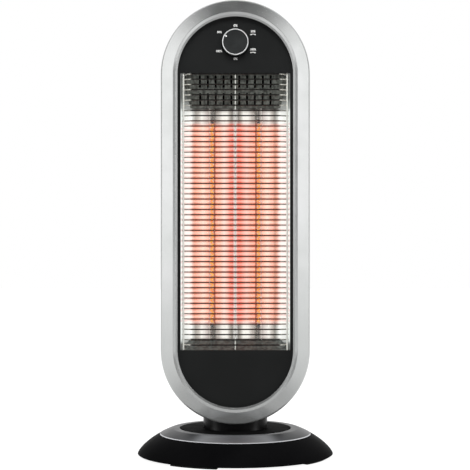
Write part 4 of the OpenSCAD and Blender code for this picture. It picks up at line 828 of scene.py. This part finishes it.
def wire_piece(name, runs, slot, body, stands_for, wears=None):
    """A piece of one or more runs of wire, each given as lines, radius, sides and ref."""
    points, faces = np.zeros((0, 3)), []
    for run in runs:
        more, more_faces = pipes(*run)
        faces += [[i + len(points) for i in face] for face in more_faces]
        points = np.concatenate([points, more])
    return piece(name, points, faces, slot, body, stands_for, 60, wears)


def coil(x, radius, turns, per_turn, low, rise):
    """A circle that climbs round an upright line at x: radius cos a, radius sin a, low + rise share."""
    share = np.linspace(0, 1, turns * per_turn + 1)
    a = 2 * np.pi * turns * share
    return np.stack([x + radius * np.cos(a), radius * np.sin(a), low + rise * share], -1)[None]


tube_profile = eased([[3.5, 141.0], [4.5, 141.0], [4.5, 477.0], [3.5, 477.0]], 0.4)
for side, name in ((-1, "left"), (1, "right")):
    turn_piece("quartz_" + name, tube_profile, 64, "quartz", "head", ["quartz_tube_" + name],
               centre=(side * TUBE_X, 0, 0))
    spiral = coil(side * TUBE_X, radius=1.85, turns=58, per_turn=20, low=177.0, rise=264.0)
    wire_piece("element_" + name, [(spiral, 0.55, 8, (0, 0, 1))], "glowing_carbon", "head",
               ["carbon_element_" + name])

# %% [markdown]
# ## The wire guard
# The horizontal wires are straight across the front and bent back at both sides, where they are welded
# behind two thicker upright wires. A thin upright wire ties them together in the middle. An array modifier
# could repeat one wire; the grid function takes all of them at once.

# %% Guard
wire_line = eased([[-69.4, -33.38], [-58.5, -39.0], [58.5, -39.0], [69.4, -33.38]], 3.0, 7, closed=False)
WIRES, WIRE_TOP, WIRE_STEP = 53, 504.4, 6.82
wires = np.zeros((WIRES, len(wire_line), 3))
wires[..., :2], wires[..., 2] = wire_line, (WIRE_TOP - WIRE_STEP * np.arange(WIRES))[:, None]
wire_piece("guard_bars", [(wires, 0.9, 12, (0, 0, 1))], "chrome_wire", "head", ["guard_wires"], "guard_wire")

upright = np.linspace(134.6, 514.0, 12)
edges = np.stack([np.stack([np.full(12, x), np.full(12, -36.3), upright], -1) for x in (-68.0, 68.0)])
wire_piece("guard_edges", [(edges, 1.2, 16, (0, 1, 0))], "chrome_wire", "head", ["guard_edge_wires"],
           "dull_nickel")

middle = np.stack([np.zeros(12), np.full(12, -37.35), np.linspace(143.6, 505.0, 12)], -1)[None]
wire_piece("guard_middle", [(middle, 0.75, 12, (0, 1, 0))], "chrome_wire", "head", ["guard_centre_wire"],
           "dull_nickel")

# %% [markdown]
# ## Inner wiring and the small spring
# The wires between the terminal block, the motor and the switches are soft, so they follow smooth curves
# through a few points, the same as in the solids. A simulation could let them sag, but they are clipped in
# place.

# %% Wiring and spring
def smooth_route(points, steps=10):
    """One curve through the points: each span is a cubic, which at each end runs parallel to the line from
    the point before to the point after."""
    p = np.asarray(points, float)
    p = np.concatenate([2 * p[:1] - p[1:2], p, 2 * p[-1:] - p[-2:-1]])
    a, b, c, d = p[:-3, None], p[1:-2, None], p[2:-1, None], p[3:, None]
    t = np.linspace(0, 1, steps, endpoint=False)[None, :, None]
    curve = 0.5 * (2 * b + (c - a) * t + (2 * a - 5 * b + 4 * c - d) * t ** 2
                   + (3 * b - a - 3 * c + d) * t ** 3)
    return np.concatenate([curve.reshape(-1, 3), p[-2:-1]])[None]


pivot_route = [[35.8, 53, 12.3], [33.8, 53, 12.3], [31.8, 53, 12.3], [26, 46, 12.3], [12, 26, 12.3],
               [3, 10, 14.3], [0, 0, 20.3], [0, 0, 25.8], [0, 0, 28.3]]
motor_route = [[-12.6, 0, 14], [-6, 4, 13], [4, 24, 11], [18, 52, 10], [29.8, 58, 10], [32.8, 58, 10],
               [35.8, 58, 10]]
tip_route = [[84, 10.1, 24.5], [84, 16, 24.5], [82, 32, 22], [76, 46, 14], [71, 53, 12.3], [68.2, 53, 12.3],
             [66.2, 53, 12.3], [64.2, 53, 12.3]]
wire_piece("base_wires", [
    (smooth_route(pivot_route), 2.6, 16, (0.9, -0.6, 0.1)), (smooth_route(motor_route), 1.2, 16, (0, 0, 1)),
    (smooth_route(tip_route), 1.2, 16, (1, 0.2, 0.1))], "wire_sleeve", "base", ["base_wiring"])

head_route = [[0, 0, 29], [0, 0, 45], [0, 0, 80], [0, 4, 104], [0, 9, 130], [0, 9, 200], [0, 9, 300],
              [0, 9, 400], [0, 9, 480], [0, 8, 505], [0, 3, 526], [0, -3, 538], [0, -8, 543.6],
              [0, -10.9, 544.8], [0, -12.4, 544.8], [0, -13.9, 544.8]]
wire_piece("head_wires", [(smooth_route(head_route), 2.6, 16, (1, 0, 0))], "wire_sleeve", "head",
           ["head_wiring"])

SPRING_WIRE = 0.35
spring_low, spring_high = (corner * 1000 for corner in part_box("tip_spring"))
spring_r = (spring_high.x - spring_low.x) / 2 - SPRING_WIRE
spiral = coil(84, spring_r, turns=5, per_turn=32, low=spring_low.z + 0.36,
              rise=spring_high.z - spring_low.z - 0.72)
wire_piece("plunger_spring", [(spiral, SPRING_WIRE, 12, (0, 0, 1))], "spring_steel", "base", ["tip_spring"])

# %% [markdown]
# ## Studio: the room
# The photo has a pure white surround, two tall soft lights at the sides, and a dim room behind the camera
# and overhead. A picture of a real studio could light the model, but a few smooth steps over the direction
# show which part of the room each gleam comes from. Where the camera, a mirror or glass looks straight at
# the background, it is white.

# %% Light of the room
def ray_kinds(tree):
    """Who asks for the light: 1 for the camera itself, and 1 for a mirror or glass."""
    rays = put(tree, "ShaderNodeLightPath").outputs
    either = put(tree, "ShaderNodeMath", {
        0: rays["Is Glossy Ray"], 1: rays["Is Transmission Ray"]}, operation="MAXIMUM")
    return rays["Is Camera Ray"], either.outputs["Value"]


studio = bpy.data.worlds.new("studio")
scene.world = studio
studio.use_nodes = True
tree = studio.node_tree
towards = put(tree, "ShaderNodeSeparateXYZ", {
    "Vector": put(tree, "ShaderNodeTexCoord").outputs["Generated"]}).outputs
by_camera, by_mirror = ray_kinds(tree)
sideways = put(tree, "ShaderNodeMath", {0: towards["X"]}, operation="ABSOLUTE").outputs["Value"]
backdrop = put(tree, "ShaderNodeMapRange", {
    "Value": by_mirror, "To Min": 0.85, "To Max": 1.0}).outputs["Result"]
# dim beside the heater, a little brighter above; behind the camera dark in the middle, bright at the sides
beside = stepwise(tree, 0.26, [(towards["Z"], 0.2, 0.6, 0.5)])
level = stepwise(tree, 0.03, [
    (sideways, 0.18, 0.70, 1.22), (towards["Y"], -0.62, -0.42, beside), (towards["Y"], 0.05, 0.4, backdrop)])
level = put(tree, "ShaderNodeMapRange", {"Value": by_camera, "To Min": level, "To Max": 1.0})
background = tree.nodes["Background"]
background.inputs["Color"].default_value = (1, 1, 1, 1)
tree.links.new(level.outputs["Result"], background.inputs["Strength"])
print("nodes of the room:", len(tree.nodes))

# %% [markdown]
# ## Studio: lamps
# Two tall soft boxes and a wide fill over the camera lighten the matt parts. A sun would make hard shadows;
# large areas keep them soft. Mirrors and the camera don't see the lamps, because the room already holds
# their reflections.

# %% Lamps
LAMPS = [("softbox_left", 0.25, 1.2, 2.5, (-1.6, -0.4, 0.5), (np.pi / 2, 0, np.arctan2(-1.6, 0.4))),
         ("softbox_right", 0.25, 1.2, 2.5, (1.6, -0.4, 0.5), (np.pi / 2, 0, np.arctan2(1.6, 0.4))),
         ("front_fill", 1.2, 0.8, 30.0, (0, -1.5, 1.4), (np.arctan2(1.5, 1.1), 0, 0))]
for name, width, height, watts, location, rotation in LAMPS:
    light = bpy.data.lights.new(name, "AREA")
    light.shape, light.size, light.size_y, light.energy = "RECTANGLE", width, height, watts
    lamp = bpy.data.objects.new(name, light)
    lamp.location, lamp.rotation_euler = location, rotation
    lamp.visible_glossy = lamp.visible_camera = False
    scene.collection.objects.link(lamp)
    print(name, watts, "W")

# %% [markdown]
# ## Studio: the floor
# The real floor is a white sheet that runs up behind the heater. It could be modelled, but a plain floor
# that glows for the camera melts into the background just as well, and keeps a soft shadow. For mirrors and
# glass it is bright behind the heater and far to both sides, and dark close in front.

# %% Floor
floor_mesh = bpy.data.meshes.new("floor")
floor_mesh.from_pydata([(-6, -6, 0), (6, -6, 0), (6, 6, 0), (-6, 6, 0)], [], [(0, 1, 2, 3)])
floor = bpy.data.objects.new("floor", floor_mesh)
scene.collection.objects.link(floor)
pale = bpy.data.materials.new("pale_floor")
pale.use_nodes = True
tree = pale.node_tree
shader = tree.nodes["Principled BSDF"]
shader.inputs["Base Color"].default_value = shade("#7d7d7d")
shader.inputs["Roughness"].default_value = 0.9
shader.inputs["Emission Color"].default_value = (1, 1, 1, 1)
# the direction of a point, as seen from 0.3 m above the middle
place = put(tree, "ShaderNodeTexCoord").outputs["Object"]
depth = put(tree, "ShaderNodeSeparateXYZ", {"Vector": place}).outputs["Y"]
seen_from = put(tree, "ShaderNodeMapping", {"Vector": place, "Location": (0, 0, -0.3)}).outputs["Vector"]
way = put(tree, "ShaderNodeSeparateXYZ", {"Vector": put(tree, "ShaderNodeVectorMath", {
    0: seen_from}, operation="NORMALIZE").outputs["Vector"]}).outputs
aside = put(tree, "ShaderNodeMath", {0: way["X"]}, operation="ABSOLUTE").outputs["Value"]
far = stepwise(tree, 0.58, [(way["Z"], -0.11, -0.05, 0.8)])
card = stepwise(tree, 0.1, [(depth, -0.6, -0.3, 0.26), (aside, 0.36, 0.66, far), (depth, 0.0, 0.3, 0.86)])
by_camera, by_mirror = ray_kinds(tree)
glow = put(tree, "ShaderNodeMapRange", {"Value": by_mirror, "To Min": 0.3, "To Max": card}).outputs["Result"]
glow = put(tree, "ShaderNodeMapRange", {"Value": by_camera, "To Min": glow, "To Max": 0.94})
tree.links.new(glow.outputs["Result"], shader.inputs["Emission Strength"])
floor_mesh.materials.append(pale)
print("nodes of the floor:", len(tree.nodes))

# %% [markdown]
# ## The last step
# The standard view shows a colour as it is written; a filmic one would grey the whites.

# %% Finish
scene.view_settings.view_transform = "Standard"
